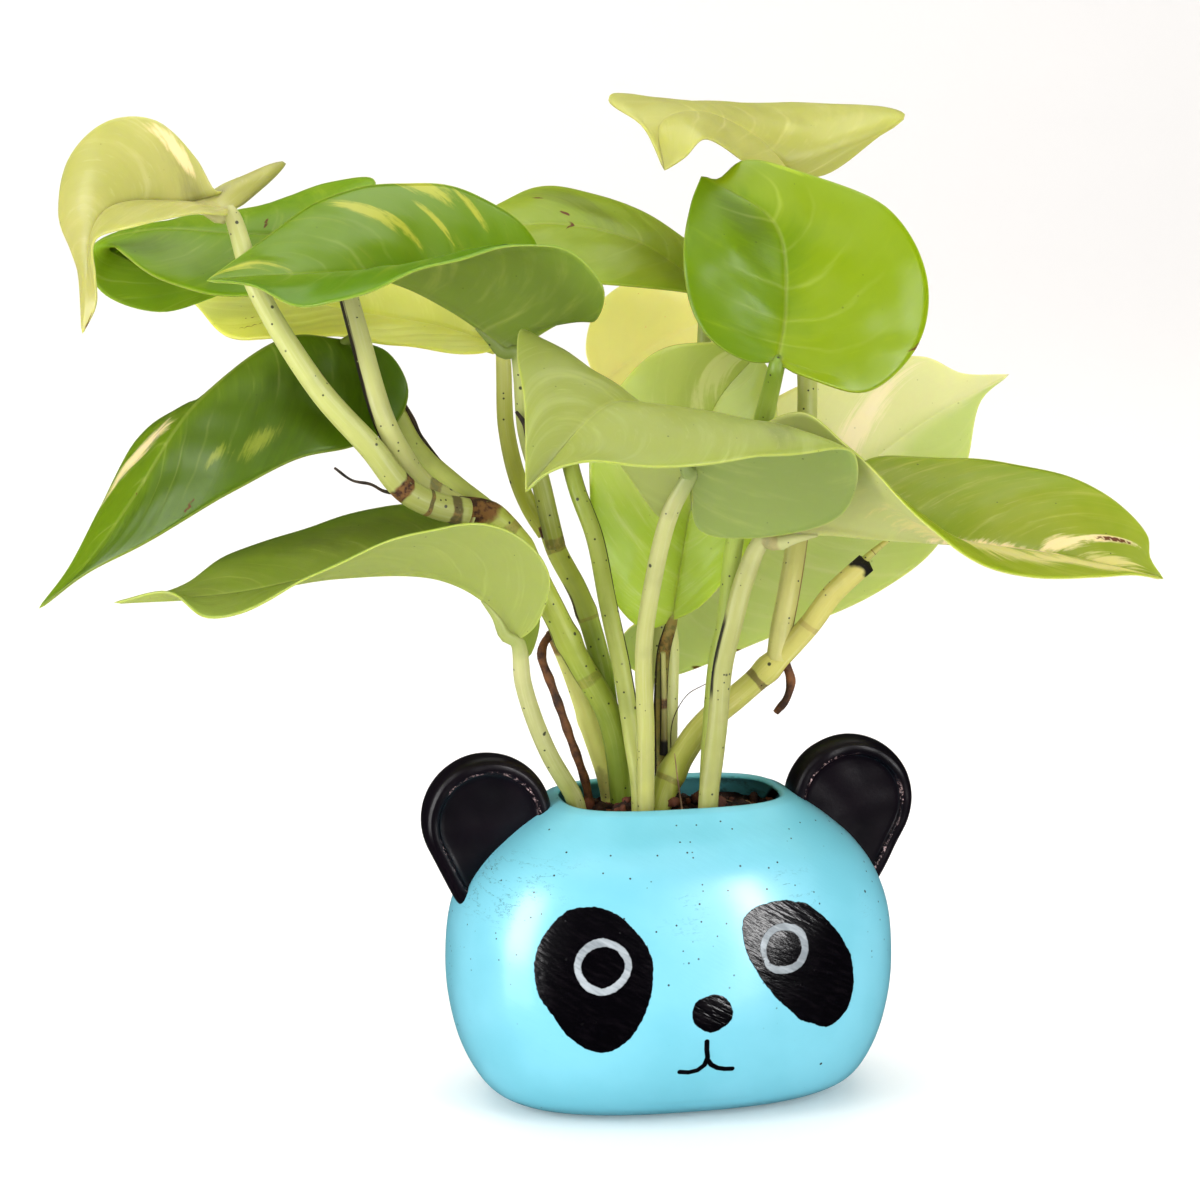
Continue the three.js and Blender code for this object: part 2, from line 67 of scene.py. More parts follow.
def smooth_line(points, places):
    """The centripetal Catmull-Rom curve through the points: a cubic on each stretch, whose end slopes
    weigh the chords beside them by the square root of their lengths. Places run from 0 to 1 along it."""
    p = np.asarray(points, float)
    p = np.vstack([2 * p[0] - p[1], p, 2 * p[-1] - p[-2]])
    knots = np.maximum(np.linalg.norm(np.diff(p, axis=0), axis=1) ** 0.5, 1e-4)[:, None]
    before, here, after = knots[:-2], knots[1:-1], knots[2:]
    a, b, c, d = p[:-3], p[1:-2], p[2:-1], p[3:]
    slope_b = here * ((b - a) / before - (c - a) / (before + here) + (c - b) / here)
    slope_c = here * ((c - b) / here - (d - b) / (here + after) + (d - c) / after)
    t = np.linspace(0, 1, 32, endpoint=False)[None, :, None]
    b, c, slope_b, slope_c = (m[:, None, :] for m in (b, c, slope_b, slope_c))
    cubic = ((2 * t ** 3 - 3 * t ** 2 + 1) * b + (t ** 3 - 2 * t ** 2 + t) * slope_b
        + (3 * t ** 2 - 2 * t ** 3) * c + (t ** 3 - t ** 2) * slope_c)
    fine = np.vstack([cubic.reshape(-1, p.shape[1]), p[-2:-1]])
    run = np.concatenate([[0], np.cumsum(np.linalg.norm(np.diff(fine, axis=0), axis=1))])
    at = np.asarray(places) * run[-1]
    return np.stack([np.interp(at, run, fine[:, k]) for k in range(p.shape[1])], axis=-1)


def closed_skin(rows, **fields):
    """A closed surface on rows of points that each run round it. The first and the last row shrink to
    their middle, as poles. Gives points, faces and the fields, in an order that points outwards."""
    count, around = rows.shape[:2]
    gather = lambda m: np.concatenate([m[:1].mean(axis=1), m[1:-1].reshape((-1,) + m.shape[2:]),
        m[-1:].mean(axis=1)])
    points = gather(rows)
    ring = np.arange(around)
    following = (ring + 1) % around
    starts = 1 + around * np.arange(count - 3)[:, None]
    quads = np.stack([starts + ring, starts + following, starts + around + following,
        starts + around + ring], axis=-1).reshape(-1, 4)
    last = len(points) - 1
    first_fan = np.stack([0 * ring, 1 + following, 1 + ring], axis=-1)
    last_fan = np.stack([0 * ring + last, last - around + ring, last - around + following], axis=-1)
    corners = points[quads]
    volume = np.einsum("ij,ij->", corners[:, 0], np.cross(corners[:, 1], corners[:, 2])
        + np.cross(corners[:, 2], corners[:, 3]))
    faces = quads.tolist() + first_fan.tolist() + last_fan.tolist()
    if volume < 0:
        faces = [face[::-1] for face in faces]
    return points, faces, {name: gather(field) for name, field in fields.items()}


def make_piece(name, parts, nodes):
    """One object from parts, each given as (points in mm, faces, fields, material)."""
    mesh = bpy.data.meshes.new(name)
    faces, material_of, start = [], [], 0
    for points, part_faces, _, material in parts:
        faces += [[start + k for k in face] for face in part_faces]
        material_of += [len(mesh.materials)] * len(part_faces)
        mesh.materials.append(material)
        start += len(points)
    mesh.from_pydata(np.concatenate([part[0] for part in parts]) * MM, [], faces)
    mesh.polygons.foreach_set("material_index", material_of)
    for field in sorted({key for part in parts for key in part[2]}):
        wide = max(part[2][field].ndim for part in parts if field in part[2]) > 1
        values = [part[2].get(field, np.zeros((len(part[0]), 3) if wide else len(part[0])))
            for part in parts]
        attribute = mesh.attributes.new(field, "FLOAT_VECTOR" if wide else "FLOAT", "POINT")
        attribute.data.foreach_set("vector" if wide else "value", np.concatenate(values).ravel())
    mesh.shade_smooth()
    mesh.update()
    piece = bpy.data.objects.new(name, mesh)
    bpy.context.scene.collection.objects.link(piece)
    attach(piece, "root")
    if nodes:
        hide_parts(*nodes)


def ripple(points, length, seed, waves=20):
    """A smooth random field: the mean of plane waves of about that length in random directions."""
    rng = np.random.default_rng(seed)
    directions = rng.normal(size=(waves, 3))
    directions *= (2 * np.pi / length * rng.uniform(0.7, 1.4, (waves, 1))
        / np.linalg.norm(directions, axis=1, keepdims=True))
    return np.cos(points @ directions.T + rng.uniform(0, 2 * np.pi, waves)).sum(axis=-1) / waves ** 0.5


def distance_to(points, line):
    """Distance in the X-Z plane from each point to a line of points, the nearest over its stretches."""
    start, along = line[:-1], np.diff(line, axis=0)
    away = points[:, None, :] - start
    t = np.clip((away * along).sum(-1) / (along ** 2).sum(-1), 0, 1)
    return np.linalg.norm(away - t[..., None] * along, axis=-1).min(axis=1)


def closed_line(outline):
    """A smooth closed line through the outline's points."""
    turned = [*outline[-2:], *outline, *outline[:3]]
    line = smooth_line(turned, np.linspace(0, 1, 270))
    run = np.linalg.norm(line - outline[0], axis=1)
    half = len(line) // 2
    first, last = run[:half].argmin(), half + run[half:].argmin()
    return np.vstack([line[first:last], line[first:first + 1]])


def inside(points, outline):
    """Signed distance to a closed outline, positive inside it: a point is inside if a ray from it to
    the right crosses the outline an odd number of times."""
    line = closed_line(outline)
    x, z = points[:, :1], points[:, 1:]
    (x0, z0), (x1, z1) = line[:-1].T, line[1:].T
    rise = np.where(z1 == z0, 1e-9, z1 - z0)
    crosses = ((z0 > z) != (z1 > z)) & (x < x0 + (z - z0) * (x1 - x0) / rise)
    return np.where(crosses.sum(axis=1) % 2 == 1, 1, -1) * distance_to(points, line)


def linear(r, g, b):
    """The linear colour of a colour as it looks on a screen, 0 to 255."""
    c = np.array([r, g, b]) / 255
    return tuple(np.where(c < 0.04045, c / 12.92, ((c + 0.055) / 1.055) ** 2.4)) + (1,)


class Signal:
    """What comes out of a node. Sums, products and comparisons of signals add their Math nodes."""

    def __init__(self, finish, socket):
        self.finish, self.socket = finish, socket

    def math(self, operation, *others):
        return self.finish.node("ShaderNodeMath", {"operation": operation}, dict(enumerate((self, *others))))

    def __add__(self, other):
        return self.math("ADD", other)

    def __sub__(self, other):
        return self.math("SUBTRACT", other)

    def __rsub__(self, other):
        return self.finish.node("ShaderNodeMath", {"operation": "SUBTRACT"}, {0: other, 1: self})

    def __mul__(self, other):
        return self.math("MULTIPLY", other)

    def __truediv__(self, other):
        return self.math("DIVIDE", other)

    def __pow__(self, other):
        return self.math("POWER", other)

    def __abs__(self):
        return self.math("ABSOLUTE")

    __radd__, __rmul__ = __add__, __mul__

    def rise(self, low, high):
        """0 below low and 1 above high with a soft change between; low above high turns it round."""
        turned = low > high
        made = self.finish.node("ShaderNodeMapRange", {"interpolation_type": "SMOOTHSTEP"},
            {0: self, 1: min(low, high), 2: max(low, high)})
        return 1 - made if turned else made


class Finish:
    """A material in the making, on one surface shader."""

    def __init__(self, name, constants):
        self.material = bpy.data.materials.new(name)
        self.material.use_nodes = True
        self.tree = self.material.node_tree
        self.shader = self.tree.nodes["Principled BSDF"]
        self.set(constants)

    def feed(self, socket, value):
        if isinstance(value, Signal):
            self.tree.links.new(value.socket, socket)
        else:
            socket.default_value = value

    def set(self, sockets):
        for name, value in sockets.items():
            self.feed(self.shader.inputs[name], value)

    def node(self, kind, settings, sockets, out=0):
        made = self.tree.nodes.new(kind)
        for name, value in settings.items():
            setattr(made, name, value)
        for key, value in sockets.items():
            self.feed(made.inputs[key], value)
        return Signal(self, made.outputs[out])

    def mix(self, share, a, b):
        """Colour a, going over to colour b with the share."""
        return self.node("ShaderNodeMix", {"data_type": "RGBA"}, {0: share, 6: a, 7: b}, 2)

    def vector(self, operation, *vectors):
        return self.node("ShaderNodeVectorMath", {"operation": operation}, dict(enumerate(vectors)))

    def parts(self, vector):
        """The three parts of a vector."""
        split = self.node("ShaderNodeSeparateXYZ", {}, {0: vector})
        return [Signal(self, output) for output in split.socket.node.outputs]

    def field(self, name, out=1):
        """A field kept on the mesh: out 1 is a vector and out 2 a number."""
        return self.node("ShaderNodeAttribute", {"attribute_name": name}, {}, out)

    def place(self):
        """Object coordinates, in metres."""
        return self.node("ShaderNodeTexCoord", {}, {}, 3)

    def noise(self, where, scale, detail=3, rough=0.5):
        return self.node("ShaderNodeTexNoise", {}, {"Vector": where, "Scale": scale, "Detail": detail,
            "Roughness": rough})

    def specks(self, where, scale, size, share):
        """Small round specks: a speck fills the middle of a random share of the cells."""
        cells = {"Vector": where, "Scale": scale}
        distance = self.node("ShaderNodeTexVoronoi", {}, cells)
        chance = self.parts(self.node("ShaderNodeTexVoronoi", {}, cells, 1))[0]
        return distance.rise(size, size * 0.6) * chance.math("LESS_THAN", share)

    def bump(self, height, strength, distance, under=None):
        sockets = {"Strength": strength, "Distance": distance, "Height": height}
        if under is not None:
            sockets["Normal"] = under
        return self.node("ShaderNodeBump", {}, sockets)


def wall_at(height):
    """The wall is even up the sides and thins towards the rim."""
    return np.interp(height, [WALL_THINS_FROM, HEAD[-1][0]], [WALL, RIM_WALL])


def head_rings():
    """Rows of (height, half width, half depth, squareness) from the middle of the underside up the
    outside, over the lip on a small round, and down the inside to the middle of the floor."""
    outside = smooth_line(HEAD, np.linspace(0, 0.985, OUTSIDE_ROWS))
    under = outside[0] * np.array([[1, s, s, 1] for s in (0, 0.5, 0.9)])
    z, a, b, square = HEAD[-1]
    turn = np.radians(np.linspace(50, 180, LIP_ROWS))
    inset = RIM_WALL / 2 * (1 - np.cos(turn))
    drop = RIM_WALL / 2 * (1 - np.sin(turn))
    lip = np.stack([z - drop, a - inset, b - inset, 0 * turn + square], axis=-1)
    inner = smooth_line(HEAD, np.linspace(0.965, 0.02, 24))
    inner = inner[inner[:, 0] > FLOOR + 1]
    inner[:, 1:3] -= wall_at(inner[:, 0])[:, None]
    floor = inner[-1] * np.array([[0, s, s, 1] for s in (0.9, 0.5, 0)]) + np.array([FLOOR, 0, 0, 0])
    return np.vstack([under, outside, lip, inner, floor])


def superellipse(angles, square):
    """Where |cos| and |sin| of the angle, both raised to the squareness, are scaled to add up to 1."""
    c, s = np.abs(np.cos(angles)), np.abs(np.sin(angles))
    return (c ** square + s ** square) ** (-1 / square)


def ring_points(rings, angles):
    """Superellipse rings: |x / a| and |y / b| raised to the squareness add up to 1."""
    z, a, b, square = (rings[:, k:k + 1] for k in range(4))
    c, s = np.cos(angles)[None, :], np.sin(angles)[None, :]
    reach = superellipse(angles[None, :], square)
    return np.stack([a * c * reach, b * s * reach, z + 0 * c], axis=-1)


def painted_head():
    """The head's rings as a skin, with a soft muzzle, and how deep each point lies inside the paint."""
    turns = np.linspace(0, 2 * np.pi, HEAD_COLUMNS, endpoint=False)
    rows = ring_points(head_rings(), turns + CROWD_FRONT * np.cos(turns))
    x, y, z = (rows[..., k] for k in range(3))
    number = np.arange(len(rows))[:, None]
    front = (y < -5) & (z > 6) & (z < 62) & (number < FACE_ENDS)
    muzzle = MUZZLE["out"] * np.exp(-((x - MUZZLE["x"]) / MUZZLE["wide"]) ** 2
        - ((z - MUZZLE["z"]) / MUZZLE["high"]) ** 2)
    flat = rows[front][:, [0, 2]]
    wobble = 0.25 * ripple(rows[front], 7, 3)
    black = np.full(rows.shape[:2], UNPAINTED)
    patches = np.max([inside(flat, outline) for outline in (LEFT_EYE, RIGHT_EYE, NOSE)], axis=0)
    black[front] = patches + wobble * 0.6
    pale = np.full(rows.shape[:2], UNPAINTED)
    pale[front] = RING_LINE / 2 + wobble * 0.35 - np.min([distance_to(flat, closed_line(ring))
        for ring in (LEFT_RING, RIGHT_RING)], axis=0)
    rows[..., 1] -= np.where(front, muzzle, 0)
    inner = np.broadcast_to((number >= INNER_STARTS).astype(float), rows.shape[:2])
    return closed_skin(rows, black=black, pale=pale, inner=inner)


def stroke(across, height, line):
    """How far a point of the X-Z plane is from a line: the least distance over its straight stretches."""
    nearest = 1e3
    for (x, z), (x_2, z_2) in zip(line[:-1], line[1:]):
        dx, dz = float(x_2 - x), float(z_2 - z)
        right, up = across - float(x), height - float(z)
        share = ((right * dx + up * dz) / (dx * dx + dz * dz)).math("MAXIMUM", 0).math("MINIMUM", 1)
        away = (abs(right - share * dx) ** 2 + abs(up - share * dz) ** 2) ** 0.5
        nearest = away.math("MINIMUM", nearest)
    return nearest


def pot_paint():
    """Glossy brushed paint: turquoise, black where the black field is above 0 and on the mouth's lines,
    pale grey in the rings, darker and stained on the inner wall. Brush strokes, dust specks and
    scratches are in the bump."""
    paint = Finish("pot_paint", {"Specular IOR Level": 0.28, "Coat Roughness": 0.22})
    at = paint.place()
    across, depth, height = paint.parts(paint.vector("MULTIPLY", at, (1 / MM,) * 3))
    ragged = paint.noise(at, 700, 3, 0.6)
    black = (paint.field("black", 2) + (ragged - 0.5) * 0.7).rise(-0.1, 0.1)
    for line in MOUTH:
        drawn = stroke(across, height, smooth_line(line, np.linspace(0, 1, len(line) + 1)))
        mouth = drawn.rise(MOUTH_LINE / 2 + 0.1, MOUTH_LINE / 2 - 0.1) * depth.rise(-20, -21)
        black = black.math("MAXIMUM", mouth)
    pale = (paint.field("pale", 2) + (ragged - 0.5) * 0.5).rise(-0.12, 0.12)
    inner = paint.field("inner", 2)
    cloud = paint.noise(at, 45, 3)
    grain = paint.noise(at, 900, 4, 0.6)
    lie = paint.node("ShaderNodeCombineXYZ", {}, {0: (across * 0.87 - height * 0.5) * 0.22,
        1: (across * 0.5 + height * 0.87) * 1.15, 2: depth * 0.22})
    brush = paint.noise(lie, 1, 2, 0.55)
    turquoise = paint.mix(cloud.rise(0.35, 0.7), linear(*TURQUOISE), linear(*TURQUOISE_LIGHT))
    dust = paint.specks(at, 330, 0.14, 0.05) + paint.specks(at, 900, 0.26, 0.06) * height.rise(15, 50)
    scrawl = paint.noise(paint.vector("MULTIPLY", at, (70, 60, 300)), 1, 5, 0.7)
    scratch = abs(scrawl - 0.5).rise(0.012, 0.004) * cloud.rise(0.5, 0.62)
    scratch = scratch * height.rise(42, 50) * height.rise(62, 56) * grain.rise(0.4, 0.55)
    turquoise = paint.mix(dust, turquoise, linear(24, 26, 32))
    turquoise = paint.mix(scratch * 0.7, turquoise, linear(60, 110, 124))
    ink = paint.mix(brush.rise(0.45, 0.8), linear(2, 1, 4), linear(12, 8, 13))
    chalk = paint.mix((cloud + brush * 0.6 - 0.3).rise(0.3, 0.7), linear(122, 130, 136),
        linear(168, 176, 182))
    stain = paint.noise(at, 110, 4, 0.65).rise(0.44, 0.6) * across.rise(10, 18)
    stain = (stain * 0.7).math("MAXIMUM", abs(across - 27.5).rise(1.4, 0.6))
    teal = paint.mix(stain, linear(104, 196, 204), linear(12, 20, 20))
    colour = paint.mix(inner, turquoise, teal)
    colour = paint.mix(pale, paint.mix(black, colour, ink), chalk)
    marks = brush * (black * 2 + 0.3) + grain * 0.12 + black * 0.35 + pale * 0.5 + scratch * -0.3
    paint.set({"Base Color": colour, "Coat Weight": 0.7 - black * 0.68 - inner * 0.6,
        "Roughness": 0.42 + cloud * 0.1 - black * 0.26 + pale * 0.4 + inner * 0.2 + dust * 0.2,
        "Normal": paint.bump(marks, 0.4, 0.00025, paint.bump(cloud, 0.5, 0.0008))})
    return paint.material


make_piece("pot", [(*painted_head(), pot_paint())], ["pot"])

# The ears are part of the same casting: round lobes with a thick rolled rim round a face that lies a
# little deeper, painted black with a brush, with painted highlights as pale streaks along the rim.
EAR = dict(x=41.5, z=65, radius=14.5, foot_x=45.5, foot_z=48.5, foot_radius=3.5)
EAR_SECTION = [(0, -3), (0.35, -3), (0.6, -3), (0.71, -3.05), (0.755, -3.3), (0.775, -3.9),
    (0.81, -4.4), (0.87, -4.5), (0.93, -4), (0.975, -2.9), (1, -1), (1, 1), (0.97, 3.1), (0.9, 4.1),
    (0.78, 4.5), (0.4, 4.55), (0, 4.6)]


def ear(side):
    """The lobe's outline is the line round a large and a small circle. Rings shrink from it to its
    middle, and the section gives how far forward or back each ring lies."""
    span = np.array([EAR["foot_x"] - EAR["x"], EAR["foot_z"] - EAR["z"]])
    open_angle = np.arccos((EAR["radius"] - EAR["foot_radius"]) / np.linalg.norm(span))
    to_foot = np.arctan2(span[1], span[0])
    big = to_foot + np.linspace(open_angle, 2 * np.pi - open_angle, 120)
    small = to_foot + np.linspace(-open_angle, open_angle, 24)
    outline = np.vstack([
        np.stack([EAR["x"] + EAR["radius"] * np.cos(big), EAR["z"] + EAR["radius"] * np.sin(big)], axis=-1),
        np.stack([EAR["foot_x"] + EAR["foot_radius"] * np.cos(small),
            EAR["foot_z"] + EAR["foot_radius"] * np.sin(small)], axis=-1)])
    outline = smooth_line(np.vstack([outline[::3], outline[:1]]), np.linspace(0, 1, 161)[:-1])
    middle = np.array([EAR["x"] + 0.6, EAR["z"] - 1.5])
    section = smooth_line(EAR_SECTION, np.linspace(0, 1, 90))
    ring = middle + (outline - middle) * section[:, :1, None]
    forward = np.broadcast_to(section[:, 1:], ring.shape[:2])
    rows = np.stack([side * ring[..., 0], forward, ring[..., 1]], axis=-1)
    rows[..., 1] += 0.12 * ripple(rows, 9, 5)
    rim = np.exp(-((section[:, :1] - 0.785) / 0.024) ** 2) * (section[:, 1:] < 0)
    return closed_skin(rows, rim=np.broadcast_to(rim, ring.shape[:2]))


def ear_paint():
    """Black paint with a satin gloss, brush marks, and painted highlights in pale streaks along the rim."""
    paint = Finish("ear_paint", {"Specular IOR Level": 0.16})
    at = paint.place()
    brush = paint.noise(at, 1300, 4, 0.7)
    cloud = paint.noise(at, 60, 3)
    # Painted highlight: pale pinkish streaks that break up along the crease inside the rim.
    painted_rim_highlight = paint.field("rim", 2).rise(0.3, 0.8) * brush.rise(0.52, 0.66) * cloud.rise(0.42, 0.56)
    colour = paint.mix(cloud.rise(0.3, 0.75), linear(6, 3, 9), linear(18, 9, 18))
    paint.set({"Base Color": paint.mix(painted_rim_highlight * 0.9, colour, linear(226, 190, 190)),
        "Roughness": 0.3 + brush * 0.1 + painted_rim_highlight * 0.3,
        "Normal": paint.bump(brush, 0.3, 0.0001, paint.bump(cloud, 0.5, 0.0008))})
    return paint.material


black_paint = ear_paint()
for name, side in (("ear_right", 1), ("ear_left", -1)):
    make_piece(name, [(*ear(side), black_paint)], ["pot"])

# The soil is dark, damp coco peat that fills the pot to just under its rim: a fine mass with a rough top,
# loose crumbs pressed together on it, and straw and hair fibres that stick out.
SOIL_LEVEL, SOIL_GAP = 63, 0.35
HEAPS = [(-9.5, -2.5, 4.5, 5.2), (1.5, -3, 5, 4.6), (8.5, 0, 4, 3.4), (-16, 8, 4, 2.4)]


def heaped(x, y):
    """How much higher the peat lies where it was pressed up against the stems: round mounds, each
    given as (x, y, width, rise)."""
    return sum(rise * np.exp(-((x - at_x) ** 2 + (y - at_y) ** 2) / wide ** 2)
        for at_x, at_y, wide, rise in HEAPS)


def peat():
    """The fill inside the pot's inner wall, its top a rough field of ripples over the same rings."""
    rings = smooth_line(HEAD, np.linspace(0.05, 0.95, 40))
    rings = rings[(rings[:, 0] > FLOOR + 1) & (rings[:, 0] < SOIL_LEVEL - 0.8)]
    rings[:, 1:3] -= (wall_at(rings[:, 0]) + SOIL_GAP)[:, None]
    top = rings[-1] * np.array([[1, s, s, 1] for s in np.linspace(0.985, 0, 40)])
    top[:, 0] = SOIL_LEVEL - 0.7
    floor = rings[:1] * np.array([[1, s, s, 1] for s in (0, 0.5, 0.95)])
    floor[:, 0] = FLOOR + SOIL_GAP
    rows = ring_points(np.vstack([floor, rings, top]), np.linspace(0, 2 * np.pi, 160, endpoint=False))
    on_top = np.arange(len(rows))[:, None] >= len(floor) + len(rings)
    rough = 0.5 * ripple(rows, 16, 11) + 0.4 * ripple(rows, 5, 12) + 0.25 * ripple(rows, 2.2, 13)
    rows[..., 2] += np.where(on_top, np.clip(rough, -1.2, 1.6) + heaped(rows[..., 0], rows[..., 1]), 0)
    return closed_skin(rows)


def crumbs(count, seed):
    """Loose crumbs: ball grids of 8 by 6 squashed and roughened at random, strewn over the surface."""
    rng = np.random.default_rng(seed)
    z, a, b, square = smooth_line(HEAD, [0.9])[0]
    turn = rng.uniform(0, 2 * np.pi, count)
    reach = superellipse(turn, square)
    share = rng.uniform(0, 1, count) ** 0.5
    size = rng.gamma(2.2, 0.28, count).clip(0.25, 1.7)
    middle = np.stack([(a - WALL - 1.2 - size) * np.cos(turn) * reach * share,
        (b - WALL - 1.2 - size) * np.sin(turn) * reach * share,
        SOIL_LEVEL - 0.6 + size * 0.25 + rng.uniform(0, 0.5, count)], axis=-1)
    middle[:, 2] += heaped(middle[:, 0], middle[:, 1])
    up, round_it = np.linspace(0, np.pi, 7), np.linspace(0, 2 * np.pi, 9)[:-1]
    ball = np.stack([np.outer(np.sin(up), np.cos(round_it)), np.outer(np.sin(up), np.sin(round_it)),
        np.outer(np.cos(up), np.ones(8))], axis=-1)
    points, faces, _ = closed_skin(ball)
    shape = rng.uniform(0.7, 1.3, (count, 1, 3)) * size[:, None, None]
    lumps = points[None] * shape * rng.uniform(0.78, 1.2, (count, len(points), 1)) + middle[:, None, :]
    starts = range(0, count * len(points), len(points))
    every = [[start + k for k in face] for start in starts for face in faces]
    shade = np.repeat(rng.uniform(0, 1, count), len(points))
    return lumps.reshape(-1, 3), every, {"shade": shade}


def tube(line, radii, sides=20, rows=None, swell=(), flat=1, at=None):
    """A round skin along the smooth line through the points. Its radius goes over from the first to the
    last of the radii, and each swelling (place in mm, width in mm, share) adds to it. Flat widens it one
    way."""
    line = np.asarray(line, float)
    length = np.linalg.norm(np.diff(line, axis=0), axis=1).sum()
    rows = rows or int(max(10, length / 1.2))
    places = np.linspace(0, 1, rows)
    middle = smooth_line(line, places)
    along = places * length
    radius = np.interp(places, np.linspace(0, 1, len(radii)) if at is None else at, radii)
    for place, width, share in swell:
        radius = radius * (1 + share * np.exp(-((along - place) / width) ** 2))
    tangent = np.gradient(middle, axis=0)
    tangent /= np.linalg.norm(tangent, axis=1, keepdims=True)
    steady = np.linalg.svd(tangent)[2][-1]
    side = np.cross(tangent, steady)
    side /= np.linalg.norm(side, axis=1, keepdims=True)
    up = np.cross(side, tangent)
    ends = np.array([0, 0.7, 0.95])
    pick = np.concatenate([[0, 0, 0], np.arange(rows), [rows - 1] * 3])
    shrink = np.concatenate([ends, np.ones(rows), ends[::-1]])
    push = np.concatenate([-(1 - ends) * 0.35, np.zeros(rows), (1 - ends[::-1]) * 0.35])
    turn = np.linspace(0, 2 * np.pi, sides, endpoint=False)
    r = (radius[pick] * shrink)[:, None, None]
    pushed = (tangent[pick] * (radius[pick] * push)[:, None])[:, None]
    c, s = np.cos(turn)[None, :, None], np.sin(turn)[None, :, None]
    skin = middle[pick][:, None] + pushed + r * (flat * c * side[pick][:, None] + s * up[pick][:, None])
    grown = np.broadcast_arrays(along[pick][:, None], turn[None, :], places[pick][:, None])
    facing = flat * np.cos(turn) * side[pick][:, :1] + np.sin(turn) * up[pick][:, :1]
    return closed_skin(skin, grown=np.stack(grown, axis=-1), facing=facing)


def fibres(count, seed):
    """Straws and hairs: short thin tubes with a random lie and bend, half sunk in the surface."""
    rng = np.random.default_rng(seed)
    points, faces, start = [], [], 0
    for _ in range(count):
        middle = np.array([rng.uniform(-22, 22), rng.uniform(-14, 14), SOIL_LEVEL + 0.2])
        lie, rise, length = rng.uniform(0, 2 * np.pi), rng.uniform(-0.12, 0.5), rng.uniform(2.5, 8)
        step = np.array([np.cos(lie), np.sin(lie), rise]) * length / 2
        bend = rng.normal(0, length * 0.12, 3)
        skin = tube([middle - step, middle + bend, middle + step], [rng.uniform(0.08, 0.2), 0.06], 6, 7)
        points.append(skin[0])
        faces += [[start + k for k in face] for face in skin[1]]
        start += len(skin[0])
    return np.concatenate(points), faces, {}


def peat_look():
    """Dark brown with paler reddish crumbs, rough and dry, with a grain that is finer than the crumbs."""
    look = Finish("peat", {"Specular IOR Level": 0.3})
    at = look.place()
    shade = look.field("shade", 2)
    grain, fine = look.noise(at, 380, 5, 0.7), look.noise(at, 1500, 3, 0.6)
    colour = look.mix(grain.rise(0.3, 0.75), linear(24, 14, 12), linear(76, 46, 36))
    colour = look.mix(shade.rise(0.5, 1) * 0.85, colour, linear(132, 76, 54))
    look.set({"Base Color": colour, "Roughness": 0.8 + fine * 0.2,
        "Normal": look.bump(grain + fine * 0.5, 0.8, 0.0006)})
    return look.material


def straw_look():
    """Dry straw, pale along one part and brown along another."""
    look = Finish("straw", {"Specular IOR Level": 0.3})
    at = look.place()
    look.set({"Base Color": look.mix(look.noise(at, 120).rise(0.4, 0.6), linear(88, 64, 44),
        linear(190, 160, 112)), "Roughness": 0.6 + look.noise(at, 700) * 0.3})
    return look.material


peat_finish, straw_finish = peat_look(), straw_look()
make_piece("soil_fill", [(*peat(), peat_finish)], ["soil"])
make_piece("soil_crumbs", [(*crumbs(760, 21), peat_finish)], [])
straw = tube([(1, -9, 65), (0.6, -8, 69), (0, -7.5, 74), (-0.5, -7, 79)], [0.25, 0.12], 8)
hair = tube([(2, 6, 74), (2, 6, 82), (3, 5, 86), (5, 3, 90), (8, -1, 93)], [0.12, 0.1], 8)
make_piece("soil_fibres", [(*fibres(70, 22), straw_finish), (*straw, straw_finish),
    (*hair, peat_finish)], [])

# The stems are what was planted: round cuttings, green to yellow, with paler rings where leaves had
# grown, rust-brown scars and tiny dark specks. One is cut off and black at its end, with a dry thorn.
# Each line is its path, its radii from foot to top and its swellings (place in mm, width in mm, share).
STEMS = {
    "stem_left": ([
        ([(-10, 3, 44), (-10, 3, 68), (-13, 3, 86), (-20, 4, 99), (-27, 3, 113), (-36, 2, 129),
            (-42, 3, 133), (-47, 3, 134)], (2.8, 2.8), ((62, 2.2, 0.16), (86, 2, 0.12), (96, 3, 0.22))),
        ([(-13, 3, 86), (-14, 8, 98), (-18, 10, 112), (-23, 11, 122), (-25, 11, 128)], (2.3, 2.3),
            ((24, 1.8, 0.12),))],
        dict(low=(110, 136, 24), high=(178, 186, 74),
            scars=((0.97, 0.05, 1), (0.88, 0.015, 0.5), (0.5, 0.012, 0.3)),
            edges=[(1, 0.35, 0.8, (70, 50, 20)), (-1, 0.5, 0.7, (60, 44, 20))])),
    "stem_specked": ([([(-11, 10, 44), (-11, 10, 66), (-15, 12, 81), (-19, 13, 94), (-23, 13, 104)],
        (2.3, 2.3), ((40, 1.8, 0.12),))],
        dict(low=(212, 214, 108), high=(222, 222, 122), scars=((0.98, 0.05, 0.9), (0.4, 0.05, 0.4)),
            band=0.5)),
    "stem_cut": ([
        ([(-4, -2, 44), (-2, -2, 68), (5, 0, 80), (10, 1, 85), (16, 0, 90), (22, -2, 96), (31, -4, 106),
            (36, -5, 113), (43, -7, 120)], (3, 3, 2.8, 2.5, 2.3), ((30, 2.2, 0.14), (62, 2.4, 0.2))),
        ([(40, -6, 117), (43, -7, 121), (48, -7, 125)], (1.2, 0.5), ())],
        dict(low=(158, 168, 60), high=(198, 188, 100),
            scars=((0.14, 0.01, 0.25), (0.3, 0.008, 0.4), (0.62, 0.012, 0.7), (0.8, 0.008, 0.3),
                (1, 0.03, 2)),
            band=0.7, edges=[(1.6, 0.6, 0.72, (130, 88, 44))])),
}


